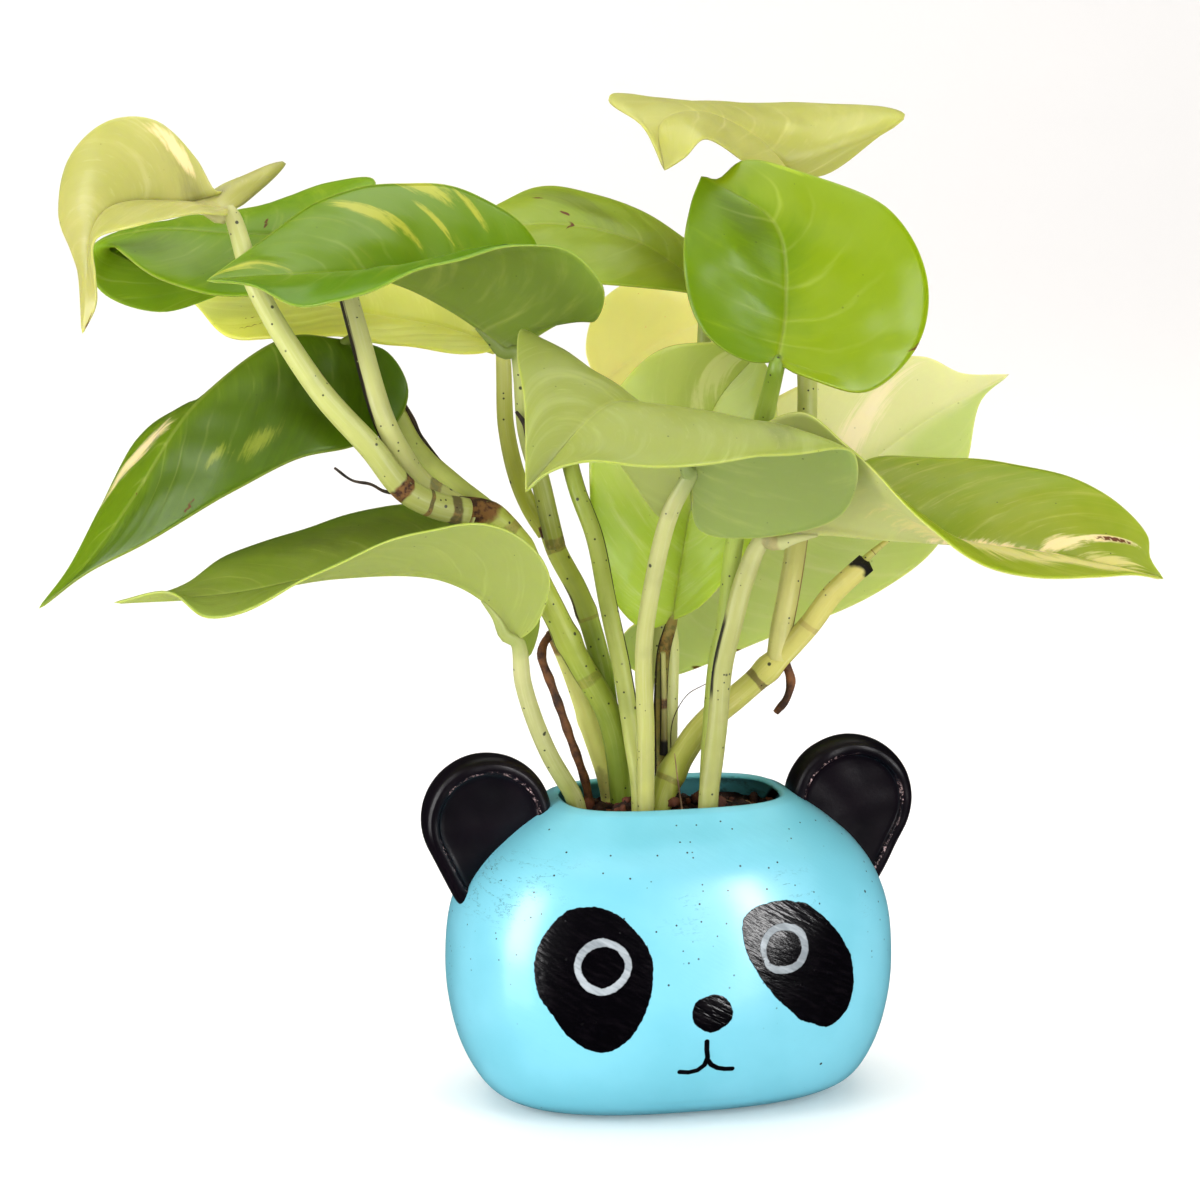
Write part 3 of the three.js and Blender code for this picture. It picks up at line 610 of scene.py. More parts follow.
def stalk_look(name, low, high, scars=(), band=0.3, specks=0.9, edges=(), end=None):
    """Green skin of a stem or stalk: low at its foot going over to high, faint stripes along it, tiny
    dark specks, at each scar (place, width, strength) rust-brown cork, black above strength 1, and at
    each edge (side, from, to, colour) a dried line along its left (-1) or right (1) flank, wider where
    the side is beyond 1. At its top it goes over to the colour of the leaf that it runs into, the end."""
    look = Finish(name, {"Specular IOR Level": 0.4, "Subsurface Weight": 0.15,
        "Subsurface Radius": (0.6, 1, 0.2), "Subsurface Scale": 0.0015})
    at, place = look.place(), look.parts(look.field("grown"))[2]
    stripe = look.noise(look.vector("MULTIPLY", look.field("grown"), (0.05, 3.2, 0)), 1, 3, 0.6)
    cloud, grain = look.noise(at, 130, 3), look.noise(at, 800, 3, 0.6)
    colour = look.mix((place + cloud * 0.5 - 0.25).rise(0, 1), linear(*low), linear(*high))
    pale = linear(*(min(255, c * 0.7 + 70) for c in high))
    colour = look.mix(stripe.rise(0.45, 0.8) * band, colour, pale)
    colour = look.mix(cloud.rise(0.5, 0.75) * 0.25, colour, linear(*(c * 0.75 for c in low)))
    if end:
        colour = look.mix(place.rise(end[0] - 0.1, end[0] + 0.03), colour, linear(*end[1]))
    black = look.specks(at, 330, 0.17, 0.22) + look.specks(at, 800, 0.24, 0.12)
    colour = look.mix(black * specks, colour, linear(14, 12, 8))
    cork = 0
    for middle, width, strength in scars:
        near = abs(place - middle + (cloud - 0.5) * (width * 3)).rise(width, width * 0.6)
        near = near * (grain + stripe - 0.2).rise(0.4, 0.6) * min(strength, 1)
        rust = look.mix((cloud + grain - 0.5).rise(0.35, 0.62), linear(64, 34, 18), linear(134, 92, 44))
        tone = linear(20, 14, 10) if strength > 1 else rust
        colour = look.mix(near, colour, tone)
        cork = near + cork
    for side, first, last, tone in edges:
        flank = (look.field("facing", 2) * side + (stripe - 0.5) * 0.5).rise(0.8, 0.93)
        near = flank * place.rise(first - 0.02, first + 0.02) * place.rise(last + 0.02, last - 0.02)
        near = near * (cloud + grain * 0.6 - 0.1).rise(0.38, 0.46)
        colour = look.mix(near, colour, linear(*tone))
        cork = near + cork
    look.set({"Base Color": colour, "Roughness": 0.42 + grain * 0.12 + cork * 0.35,
        "Normal": look.bump(stripe * 0.6 + grain * 0.3 + cork * 0.6, 0.4, 0.0004)})
    return look.material


for name, (lines, look) in STEMS.items():
    green = stalk_look(name + "_skin", **look)
    make_piece(name, [(*tube(line, radii, 28, swell=swell), green) for line, radii, swell in lines],
        [name])

# The leaves: blade and stalk grew as one. Each blade folds along its midrib, which lies in a groove on
# top and stands out below, and the stalk runs into it. Colours go from deep green to pale lemon.
# A mark is (side, place, width, length): -1 is the left margin and 1 the right, 0 the base and 1 the tip.
LEAVES = {
    "leaf_lemon_left": dict(
        midrib=[(-95, 10, 199), (-107, 14, 201), (-121, 14, 199), (-127, 7, 174)],
        left=[(-97, 2, 199), (-105, -4, 200), (-116, -7, 198), (-124, 0, 195), (-124, 6, 187),
            (-124, 7, 180)],
        right=[(-91, 15, 200), (-80, 26, 208), (-92, 20, 205), (-97, 13, 203), (-101, 15, 210),
            (-109, 18, 218), (-118, 22, 218), (-127, 24, 210), (-130, 22, 198), (-127, 16, 188)],
        stalk=[(-46, -2, 134), (-53, -4, 136), (-60, -5, 140), (-67, -5, 149), (-78, -2, 162),
            (-90, 4, 183)],
        radius=(2.8, 1.9),
        # The white mark here is a painted highlight, a whitish glint on the blade.
        marks=dict(deep=[(0.45, 0.33, 0.5, 0.12), (0.9, 0.1, 0.8, 0.13)], white=[(0.84, 0.46, 0.15, 0.06)],
            brown=[(-0.95, 0.95, 0.1, 0.02)]),
        look=dict(top=(160, 158, 84), tip=(174, 168, 100), under=(173, 170, 108), streak=(202, 198, 152),
            edge=(200, 198, 142), gloss=0.3),
        stalk_look=dict(low=(176, 180, 96), high=(184, 188, 112),
            scars=((0.03, 0.015, 0.8), (0.1, 0.006, 0.8), (0.17, 0.016, 1)),
            edges=[(1, 0.05, 0.5, (120, 84, 40))], band=0.6)),
    "leaf_long_left": dict(
        midrib=[(-69, 30, 191), (-90, 31, 192), (-109, 33, 193), (-122, 36, 189), (-119, 42, 179),
            (-106, 44, 174), (-92, 42, 178)],
        left=[(-67, 20, 187), (-80, 10, 182), (-95, 12, 181), (-109, 19, 184), (-117, 29, 190),
            (-117, 39, 188), (-106, 42, 183)],
        right=[(-62, 33, 195), (-58, 40, 202), (-67, 50, 201), (-85, 57, 194), (-106, 57, 190),
            (-114, 52, 187), (-103, 50, 185)],
        stalk=[(-43, 3, 132), (-48, 4, 135), (-55, 3, 140), (-60, -1, 147), (-64, -2, 155),
            (-67, 9, 171), (-68, 17, 179)],
        radius=(2.6, 2),
        marks=dict(brown=[(0.15, 0.315, 0.12, 0.008)], deep=[(-0.6, 0.62, 0.5, 0.1)]),
        look=dict(top=(104, 138, 6), tip=(120, 148, 14), under=(96, 110, 36), streak=(152, 171, 46),
            gloss=0.4),
        stalk_look=dict(low=(198, 200, 122), high=(186, 186, 122),
            scars=((0.02, 0.02, 0.8), (0.12, 0.02, 0.6)),
            edges=[(-1, 0.1, 0.95, (40, 30, 18))], band=0.6)),
    "leaf_big_green": dict(
        midrib=[(-34, 2, 168), (-48, 2, 178), (-63, 0, 185), (-87, -8, 187), (-103, -14, 187)],
        left=[(-25, -3, 175), (-20, -15, 177), (-21, -24, 185), (-31, -26, 194), (-48, -28, 193),
            (-65, -28, 188), (-77, -25, 183), (-85, -21, 182), (-94, -17, 186)],
        right=[(-27, 6, 174), (-27, 14, 190), (-39, 21, 201), (-55, 23, 203), (-72, 19, 201),
            (-89, 4, 193)],
        stalk=[(-24, 8, 124), (-26, 6, 131), (-28, 5, 139), (-31, 5, 150)],
        radius=(2, 1.8),
        marks=dict(cream=[(0.72, 0.575, 0.26, 0.026), (0.5, 0.5, 0.22, 0.014), (0.95, 0.45, 0.16, 0.06),
            (0.88, 0.37, 0.18, 0.016), (0.62, 0.43, 0.24, 0.01), (0.6, 0.92, 0.6, 0.04)],
            deep=[(-0.2, 0.5, 0.4, 0.2)], brown=[(0, 1.01, 1, 0.03)]),
        look=dict(top=(84, 119, 2), tip=(99, 128, 5), under=(112, 128, 52), streak=(172, 170, 52),
            lean=(1, 0.6), amount=0.1, gloss=0.3),
        stalk_look=dict(low=(134, 142, 44), high=(184, 190, 118), scars=((0.02, 0.03, 0.5),))),
    "leaf_back_top": dict(
        midrib=[(13, 24, 179), (0, 29, 188), (-17, 35, 192), (-42, 36, 190)],
        left=[(14, 15, 177), (6, 11, 179), (-11, 11, 181), (-29, 19, 183), (-39, 29, 186)],
        right=[(18, 33, 183), (11, 45, 190), (-3, 54, 197), (-19, 52, 199), (-33, 45, 194)],
        stalk=[(-4, 7, 44), (-3, 9, 72), (-2, 13, 91), (1, 14, 104), (3, 16, 117), (10, 17, 142),
            (13, 21, 165)],
        radius=(1.6, 1.5),
        marks=dict(brown=[(0.23, 0.66, 0.07, 0.012), (-0.02, 0.66, 0.12, 0.01), (0.65, 0.7, 0.06, 0.01)],
            deep=[(0.5, 0.6, 0.6, 0.1)]),
        look=dict(top=(128, 147, 24), tip=(138, 153, 36), under=(134, 149, 52), streak=(165, 173, 55),
            amount=0.1),
        stalk_look=dict(low=(176, 182, 100), high=(166, 176, 92))),
    "leaf_lemon_back": dict(
        midrib=[(-9, 31, 156), (4, 34, 164), (21, 38, 170), (39, 40, 173)],
        left=[(-11, 35, 164), (-4, 44, 175), (15, 50, 180), (31, 50, 178)],
        right=[(-12, 25, 149), (-1, 23, 147), (16, 25, 152), (30, 32, 163)],
        stalk=[(-8, -6, 44), (-8, -6, 71), (-9, -3, 82), (-11, -1, 97), (-14, 0, 112),
            (-17, 0, 127), (-20, 4, 137), (-20, 14, 145), (-18, 22, 150)],
        radius=(2.2, 1.8),
        marks=dict(),
        look=dict(top=(241, 227, 152), tip=(241, 227, 158), under=(241, 227, 152), streak=(241, 228, 176),
            edge=(241, 229, 178), amount=0.1, glow=0.26),
        stalk_look=dict(low=(176, 180, 96), high=(134, 152, 30), edges=[(1.1, 0.2, 0.75, (36, 30, 14))])),
    "leaf_lemon_low": dict(
        midrib=[(-35, 14, 168), (-46, 25, 171), (-60, 34, 173), (-78, 51, 175), (-98, 64, 176)],
        left=[(-40, 11, 167), (-56, 18, 168), (-77, 31, 169), (-91, 43, 168), (-96, 55, 173)],
        right=[(-29, 21, 173), (-31, 36, 180), (-45, 54, 184), (-66, 69, 183), (-87, 71, 179)],
        stalk=[(-25, 13, 126), (-28, 15, 131), (-31, 15, 138), (-34, 13, 150)],
        radius=(2, 1.6),
        marks=dict(brown=[(-0.78, 0.72, 0.16, 0.01), (-0.6, 0.75, 0.1, 0.008)]),
        look=dict(top=(204, 202, 84), tip=(208, 208, 96), under=(212, 213, 94), streak=(229, 226, 130),
            edge=(229, 226, 138), glow=0.06),
        stalk_look=dict(low=(166, 172, 44), high=(186, 186, 100))),
    "leaf_dark_droop": dict(
        midrib=[(-68, 13, 170), (-82, 15, 171), (-102, 15, 157), (-116, 14, 137), (-128, 15, 121),
            (-137, 17, 113)],
        left=[(-61, 10, 168), (-57, 6, 160), (-60, 4, 153), (-69, 1, 149), (-82, -1, 147),
            (-97, 0, 140), (-112, 5, 130), (-127, 13, 121)],
        right=[(-59, 20, 164), (-60, 30, 150), (-76, 38, 145), (-101, 38, 152), (-113, 32, 147),
            (-122, 26, 133), (-130, 20, 121)],
        stalk=[(-37, 2, 130), (-40, 7, 133), (-46, 11, 138), (-54, 14, 146), (-58, 16, 154),
            (-62, 16, 162)],
        radius=(2.2, 1.6),
        marks=dict(cream=[(-0.72, 0.47, 0.14, 0.05), (-0.62, 0.56, 0.08, 0.035)],
            white=[(0.6, 0.69, 0.5, 0.045)],
            deep=[(-0.5, 0.3, 0.6, 0.2)], brown=[(-0.9, 0.645, 0.09, 0.012), (-0.02, 0.755, 0.07, 0.007)]),
        look=dict(top=(71, 95, 4), tip=(94, 120, 7), under=(98, 114, 30), streak=(128, 137, 38),
            lean=(2, 0.5), amount=0.1),
        stalk_look=dict(low=(198, 206, 104), high=(140, 148, 70), scars=((0.55, 0.05, 0.7),))),
    "leaf_low_left": dict(
        midrib=[(-37, -12, 107), (-43, -13, 116), (-54, -12, 122), (-75, -7, 122), (-98, -2, 118),
            (-122, 5, 116)],
        left=[(-34, -19, 112), (-33, -27, 124), (-43, -33, 135), (-61, -33, 136), (-77, -27, 129),
            (-92, -20, 120), (-104, -11, 115), (-111, -1, 119)],
        right=[(-36, -8, 103), (-32, -3, 102), (-29, 1, 110), (-35, 6, 119), (-45, 14, 128),
            (-56, 17, 133), (-78, 18, 128), (-95, 14, 124), (-106, 7, 119), (-113, 6, 117)],
        stalk=[(-20, -1, 44), (-21, -2, 64), (-22.4, -2.6, 69.5), (-25, -3.6, 74), (-28.2, -5, 79.5),
            (-32, -7, 88), (-35, -9, 97)],
        radius=(1.9, 1.7),
        marks=dict(brown=[(0, 1.01, 1, 0.03)], deep=[(0.5, 0.5, 0.4, 0.2)]),
        look=dict(top=(116, 134, 40), tip=(126, 138, 58), under=(150, 159, 84), under_2=(143, 154, 74),
            streak=(141, 150, 67), specks=0.9),
        stalk_look=dict(low=(122, 128, 46), high=(190, 188, 130), band=0.4)),
    "leaf_heart": dict(
        midrib=[(18, -22, 167), (22, -14, 178), (22, -5, 195), (8, 5, 205)],
        left=[(11, -21, 168), (3, -17, 174), (0, -11, 187), (4, -1, 199)],
        right=[(22, -25, 165), (37, -26, 161), (49, -23, 170), (53, -17, 183), (47, -7, 198),
            (29, 2, 206), (18, 7, 208), (12, 6, 204)],
        stalk=[(7, -7, 44), (7, -7, 69), (9, -7, 99), (11, -7, 109), (13, -7, 127), (17, -11, 149)],
        radius=(1.8, 2.1),
        marks=dict(brown=[(0.985, 0.31, 0.035, 0.012)], deep=[(-0.3, 0.75, 0.3, 0.2)],
            cream=[(0.95, 0.82, 0.06, 0.06)]),
        look=dict(top=(99, 127, 4), tip=(124, 145, 6), under=(131, 144, 46), streak=(150, 168, 26),
            lean=(1.6, -0.4), specks=0.4, amount=0.1, gloss=0.3),
        stalk_look=dict(low=(168, 178, 84), high=(164, 186, 74))),
    "leaf_top_right": dict(
        midrib=[(35, 25, 202), (26, 22, 211), (11, 16, 218), (-1, 6, 216), (-2, -2, 207)],
        left=[(32, 18, 201), (19, 8, 208), (6, -4, 214), (2, -5, 210)],
        right=[(43, 27, 203), (56, 30, 211), (63, 33, 215), (54, 47, 217), (34, 52, 217),
            (12, 40, 219), (-10, 17, 221), (-5, 5, 216)],
        stalk=[(24, -3, 98), (25, -2, 104), (27, -1, 113), (30, 3, 125), (34, 10, 154),
            (35, 19, 176)],
        radius=(2.4, 1.9),
        marks=dict(),
        look=dict(top=(168, 166, 84), tip=(174, 172, 94), under=(167, 164, 90), streak=(194, 189, 118),
            veins=0.8, edge=(214, 207, 141)),
        stalk_look=dict(low=(194, 188, 112), high=(166, 182, 80), edges=[(1, 0.05, 0.4, (120, 74, 40))])),
    "leaf_front": dict(
        midrib=[(-1, -22, 144), (-7, -27, 155), (-22, -38, 162), (-43, -50, 146)],
        left=[(2, -18, 131), (12, -19, 129), (26, -26, 132), (31, -35, 139), (28, -45, 151),
            (8, -53, 152), (-12, -57, 151), (-31, -56, 153), (-39, -52, 150)],
        right=[(-5, -16, 133), (-13, -12, 143), (-24, -12, 160), (-37, -20, 176), (-40, -28, 172),
            (-41, -40, 161)],
        stalk=[(-8, -11, 44), (-8, -11, 70), (-8, -11, 85), (-9, -13, 104), (-8, -16, 118),
            (-5, -20, 135)],
        radius=(1.8, 1.8),
        marks=dict(brown=[(-0.75, 0.51, 0.09, 0.006)], deep=[(-0.7, 0.52, 0.3, 0.04)]),
        look=dict(top=(141, 148, 69), tip=(135, 144, 69), under=(127, 142, 78), under_2=(150, 157, 91),
            streak=(172, 175, 113), amount=0.5, specks=0.5),
        stalk_look=dict(low=(166, 168, 80), high=(178, 178, 116), band=0.4)),
    "leaf_green_mid": dict(
        midrib=[(2, 6, 106), (7, 10, 130), (12, 9, 153), (20, 2, 166)],
        left=[(-5, 5, 105), (-14, 4, 116), (-17, 5, 134), (-14, 7, 153), (-2, 6, 166), (10, 1, 169)],
        right=[(8, 3, 110), (17, 0, 122), (23, -1, 138), (24, -1, 154), (22, 0, 163)],
        stalk=[(-1, 3, 44), (-1, 3, 73), (-1, 4, 89), (0, 5, 100)],
        radius=(1.5, 1.5),
        marks=dict(cream=[(-0.5, 0.9, 0.5, 0.08), (-0.3, 0.78, 0.3, 0.03)]),
        look=dict(top=(158, 178, 58), tip=(180, 190, 98), under=(165, 176, 82), streak=(209, 211, 142),
            lean=(0, 2), glow=0.05),
        stalk_look=dict(low=(150, 150, 60), high=(160, 172, 70), scars=((0.5, 0.4, 0.6), (0.85, 0.12, 0.7)),
            edges=[(-1, 0.3, 1, (36, 26, 12)), (1, 0.4, 1, (46, 32, 14))])),
    "leaf_back_right": dict(
        midrib=[(5, 18, 106), (19, 22, 117), (44, 25, 131), (67, 24, 147), (85, 21, 157)],
        left=[(-4, 21, 102), (-6, 24, 95), (4, 26, 89), (26, 25, 96), (56, 22, 108), (70, 23, 119),
            (76, 23, 137), (79, 23, 151)],
        right=[(-1, 26, 114), (7, 32, 131), (26, 32, 148), (49, 28, 159), (66, 26, 161),
            (75, 25, 157)],
        stalk=[(1, 8, 44), (2, 8, 72), (3, 11, 85), (4, 14, 97)],
        radius=(1.6, 1.6),
        marks=dict(brown=[(-0.99, 0.34, 0.05, 0.008), (-0.99, 0.27, 0.05, 0.012)],
            cream=[(0.4, 0.7, 0.5, 0.06)]),
        look=dict(top=(190, 186, 118), tip=(184, 184, 112), under=(172, 182, 108), under_2=(204, 200, 152),
            streak=(224, 208, 180), amount=0.4, edge=(226, 212, 178), glow=0.05),
        stalk_look=dict(low=(196, 198, 122), high=(200, 204, 126))),
    "leaf_right_streaked": dict(
        midrib=[(18, -12, 127), (29, -15, 129), (41, -18, 128), (60, -20, 126), (82, -23, 123),
            (104, -30, 118)],
        left=[(24, -8, 124), (34, -3, 133), (46, 3, 141), (65, 4, 141), (84, -5, 139),
            (97, -14, 134), (103, -22, 126), (102, -27, 122)],
        right=[(13, -13, 134), (13, -17, 150), (22, -26, 157), (29, -37, 151), (38, -48, 141),
            (50, -51, 130), (67, -46, 123), (85, -40, 121), (96, -34, 120)],
        stalk=[(6, -12, 44), (6, -12, 70), (7, -12, 78), (8, -12, 87), (9, -12, 99), (11, -13, 109),
            (14, -12, 119)],
        radius=(2, 2),
        marks=dict(cream=[(0.4, 0.68, 0.35, 0.26), (0.5, 0.86, 0.5, 0.1), (-0.12, 0.9, 0.3, 0.05)],
            white=[(0.06, 0.68, 0.12, 0.14), (-0.15, 0.8, 0.2, 0.035), (-0.45, 0.855, 0.35, 0.02)],
            brown=[(-0.52, 0.87, 0.22, 0.014), (0, 1.01, 1, 0.03)]),
        look=dict(top=(119, 136, 12), tip=(136, 144, 28), under=(182, 183, 122), streak=(204, 190, 124),
            amount=0.25, specks=0.8),
        stalk_look=dict(low=(146, 150, 76), high=(168, 168, 102), scars=((0.9, 0.03, 0.4),),
            edges=[(-0.94, 0.5, 0.68, (30, 24, 12))])),
}
ROWS, CELLS, CROWDING, SWEEP, VEIN_SPACING = 84, 30, 1.5, 0.2, 7.5
# The stalk runs out under these rows of the blade, sunk into it by these shares of its radius
KEEL_ROWS, KEEL_SUNK = np.array([8, 15, 22]), np.array([0.75, 0.5, 0.3])


def blade(midrib, left, right, marks, seed, top_radius, camber=0.05):
    """A blade between its midrib and two margins. Straight lines go from the midrib, at place t to the
    power of the crowding, to the margin at t. Each half arches between them, the lateral veins ripple
    it, a groove follows the midrib above and a keel below, and the blade thins towards its margin. It
    also gives the line under the midrib along which the stalk runs out."""
    t = np.linspace(0, 1, ROWS + 1)[:, None]
    share = np.linspace(0, 1, CELLS + 1) ** 1.35
    u = np.concatenate([-share[:0:-1], share])[None, :]
    spine = smooth_line(midrib, t[:, 0] ** CROWDING)
    sides = [smooth_line([midrib[0], *side, midrib[-1]], t[:, 0]) for side in (left, right)]
    reach = np.where((u < 0)[..., None], (sides[0] - spine)[:, None], (sides[1] - spine)[:, None])
    half_width = np.linalg.norm(reach, axis=-1)
    sheet = spine[:, None] + np.abs(u)[..., None] * reach
    normal = np.cross(np.gradient(sheet, axis=1), np.gradient(sheet, axis=0))
    normal /= np.linalg.norm(normal, axis=-1, keepdims=True) + 1e-9
    normal[0], normal[-1] = normal[1], normal[-2]
    out = np.abs(u) * half_width
    vein = t - SWEEP * np.abs(u) ** 1.5
    length = np.linalg.norm(np.diff(spine, axis=0), axis=1).sum()
    bulge = 4 * np.abs(u) * (1 - np.abs(u))
    wave = 2 * np.pi * vein * length / VEIN_SPACING + 1.6 * ripple(sheet, 26, seed + 40)
    fade = np.clip(half_width / 8, 0, 1) * np.sin(np.pi * np.clip(t * 1.02, 0, 1)) ** 0.3
    lift = fade * (camber * half_width * bulge ** 0.8 + 0.06 * bulge * np.cos(wave)
        + 0.2 * bulge * ripple(sheet, 11, seed + 60)
        + 0.45 * np.abs(u) * ripple(sheet, 22, seed + 1) * np.clip(half_width / 15, 0, 1))
    lift = lift + 0.5 * top_radius * np.exp(-(out / top_radius) ** 2 - (t * length / 5) ** 2)
    groove = 0.3 * np.exp(-(out / 0.55) ** 2) * (1 - t)
    keel = 0.9 * np.exp(-(out / 0.8) ** 2) * (1 - t)
    half = 0.22 + 0.12 * (1 - np.abs(u) ** 6)
    above = sheet + normal * (lift + half - groove)[..., None]
    below = sheet + normal * (lift - half - keel)[..., None]
    loop = lambda a, b: np.concatenate([a, b[:, ::-1]], axis=1)
    both = lambda m: loop(m, m)
    spread = lambda m: np.broadcast_to(m, half_width.shape)
    fields = {}
    for kind in ("cream", "deep", "brown", "white"):
        near = [1 - np.hypot((u - at_u) / wide, (vein - at_t + SWEEP * abs(at_u) ** 1.5) / long)
            for at_u, at_t, wide, long in marks.get(kind, ())]
        fields[kind] = both(spread(np.max([spread(0 * t - 1), *near], axis=0)))
    skin = lambda top: np.stack([spread(u), spread(t), spread(0 * t + top)], axis=-1)
    measure = np.stack([spread(vein * length), u * half_width, (1 - np.abs(u)) * half_width], axis=-1)
    sunk = half[0, CELLS] + top_radius * KEEL_SUNK
    keel_line = sheet[KEEL_ROWS, CELLS] - normal[KEEL_ROWS, CELLS] * sunk[:, None]
    return closed_skin(loop(above, below), skin=loop(skin(1), skin(-1)), measure=both(measure),
        **fields), keel_line


def leaf_look(name, top, tip, under, streak, amount=0.3, lean=(0, 0), under_2=None, veins=0.25, specks=0.3,
        edge=(206, 208, 120), gloss=0.36, glow=0, seed=0):
    """Waxy leaf skin. The top colour goes over to the tip colour as the blade leans to its side or tip,
    in clouds, with flecks and streaks along the lateral veins, paler veins and margin, patches of cream,
    deeper green, white and brown, and a duller colour on the underside. The white patches are pale
    variegation, and on one leaf a painted highlight. The glow stands for the light that comes through a
    blade from behind."""
    look = Finish(name, {"Specular IOR Level": 0.18, "Coat Roughness": 0.3, "Emission Strength": glow,
        "Subsurface Weight": 0.7, "Subsurface Radius": (0.8, 1, 0.15), "Subsurface Scale": 0.002})
    u, t, upper = look.parts(look.field("skin"))
    vein, out, rim = look.parts(look.field("measure"))
    at = look.place()
    upper = upper.rise(-0.5, 0.5)
    cloud, grain = look.noise(at, 42, 3), look.noise(at, 620, 3, 0.6)
    along = lambda wide, long: look.node("ShaderNodeCombineXYZ", {},
        {0: vein * wide, 1: out * long, 2: seed * 1.7})
    streaks, flecks = look.noise(along(0.33, 0.045), 1, 4, 0.6), look.noise(along(1, 0.2), 1, 4, 0.65)
    edges = (streaks - 0.5) * 1.4 + (flecks - 0.5) * 1.6 + (grain - 0.5) * 0.3
    cream = (look.field("cream", 2) + edges).rise(0, 0.6)
    deep = (look.field("deep", 2) + edges * 0.6).rise(-0.1, 0.9)
    brown = (look.field("brown", 2) + edges * 0.5).rise(0.1, 0.4)
    leaning = (u * (0.5 * lean[0]) + (t - 0.5) * lean[1] + cloud + streaks * 0.5 - 0.25).rise(0.2, 0.8)
    colour = look.mix(leaning, linear(*top), linear(*tip))
    colour = look.mix(deep * 0.6, colour, linear(*(c * 0.7 for c in top)))
    pale = streaks.rise(0.62 - amount * 0.3, 0.85 - amount * 0.25) * 0.35
    pale = pale.math("MAXIMUM", flecks.rise(0.55, 0.75) * (amount * 0.7))
    colour = look.mix(pale, colour, linear(*streak))
    main = (vein / VEIN_SPACING + cloud * 1.2).math("PINGPONG", 0.5).rise(0.1, 0) * abs(u).rise(0.9, 0.3)
    main = main * streaks.rise(0.38, 0.6)
    middle = abs(out).rise(0.8, 0.2) * t.rise(1, 0.7)
    colour = look.mix(main * (veins * 0.4), colour, linear(*edge))
    colour = look.mix(middle * 0.12, colour, linear(*edge))
    lower = look.mix((u + cloud - 0.5).rise(-0.3, 0.3), linear(*under), linear(*(under_2 or under)))
    lower = look.mix((streaks - 0.5).rise(0, 0.4) * 0.2 + main * 0.06, lower, linear(*edge))
    colour = look.mix(upper, look.mix(0.85, colour, lower), colour)
    colour = look.mix(cream * 0.85, colour, linear(*streak))
    # White patches: pale variegation on other leaves, a painted highlight on leaf_lemon_left.
    white = (look.field("white", 2) + edges * 0.8).rise(0, 0.5)
    colour = look.mix(white * 0.9, colour, linear(226, 204, 158))
    colour = look.mix(rim.rise(0.4, 0.12) * 0.14, colour, linear(*edge))
    black = look.specks(at, 300, 0.09, 0.12) + look.specks(at, 620, 0.12, 0.08)
    colour = look.mix(black * specks, colour, linear(46, 40, 20))
    colour = look.mix(brown, colour, linear(96, 52, 26))
    look.set({"Base Color": colour, "Emission Color": colour,
        "Coat Weight": cloud.rise(0.45, 0.65) * upper * 0.2,
        "Roughness": gloss + cloud * 0.14 + grain * 0.1 - 0.07 + brown * 0.3 + (1 - upper) * 0.14,
        "Normal": look.bump(grain * 0.25 + flecks * 0.3 + main * -0.3 + streaks * 0.3, 0.3, 0.0003,
            look.bump(cloud, 0.25, 0.002))})
    return look.material


for seed, (name, leaf) in enumerate(LEAVES.items()):
    foot, top = leaf["radius"]
    skin, keel_line = blade(leaf["midrib"], leaf["left"], leaf["right"], leaf["marks"], seed, top)
    stalk_line = np.array([*leaf["stalk"], leaf["midrib"][0]], float)
    joint = np.linalg.norm(np.diff(stalk_line, axis=0), axis=1).sum()
    run_out = np.linalg.norm(np.diff([stalk_line[-1], *keel_line], axis=0), axis=1).sum()
    joint /= joint + run_out
    stalk = tube([*stalk_line, *keel_line], [foot, top, top * 0.85, top * 0.6, 0.3], 24,
        at=[0, joint * 0.9, joint, (1 + joint) / 2, 1], flat=1.1)
    # The stalk runs into the underside, except on the heart-shaped leaf, which is seen from its top
    end = (joint, leaf["look"]["top" if name == "leaf_heart" else "under"])
    make_piece(name, [(*skin, leaf_look(name + "_skin", seed=seed, **leaf["look"])),
        (*stalk, stalk_look(name + "_stalk", end=end, **leaf["stalk_look"]))], [name])

# Aerial roots hang from the stems' joints and a hair of one sticks out at the left. Old leaf sheaths
# have dried to black strips beside the stalks that they once wrapped.
ROOTS = {
    "root_left": ([(-20, 12, 103), (-23, 11, 104), (-26, 10, 102), (-27, 9, 99), (-25, 9, 93),
        (-23, 8, 87), (-21, 8, 81), (-19, 7, 75), (-17, 7, 68), (-16, 7, 52)], (0.9, 0.9)),
    "root_right": ([(26, -3, 97), (27, -3, 94), (27, -3, 92), (26, -3, 89), (24, -2, 86)], (1, 0.7)),
    "root_hair": ([(-59, -4, 139), (-64, -3.4, 139.4), (-67, -3, 141), (-71, -3, 142), (-75, -4, 145)],
        (0.4, 0.3, 0.25)),
}
SHEATHS = {
    "sheath_left": ([(-57, 17, 157), (-54.5, 15.5, 152), (-53, 15, 148), (-49, 12, 143)],
        (0.3, 0.6, 0.8, 0.3)),
    "sheath_shoot": ([(-34, 2, 155), (-32, 2, 152), (-31, 2, 148), (-29, 3, 143)],
        (0.3, 0.6, 0.7, 0.3)),
    "sheath_middle": ([(-1, 1, 77), (-1, 1, 88), (-1, 2, 100)], (0.9, 0.6)),
}


def bark_look(name, dark, light):
    """Dry brown bark, lighter where it has rubbed, with short ridges across."""
    look = Finish(name, {"Specular IOR Level": 0.35})
    at = look.place()
    patch, grain = look.noise(at, 260, 4, 0.6), look.noise(at, 1400, 3, 0.6)
    look.set({"Base Color": look.mix(patch.rise(0.35, 0.7), linear(*dark), linear(*light)),
        "Roughness": 0.6 + grain * 0.3, "Normal": look.bump(patch + grain * 0.5, 0.7, 0.0004)})
    return look.material


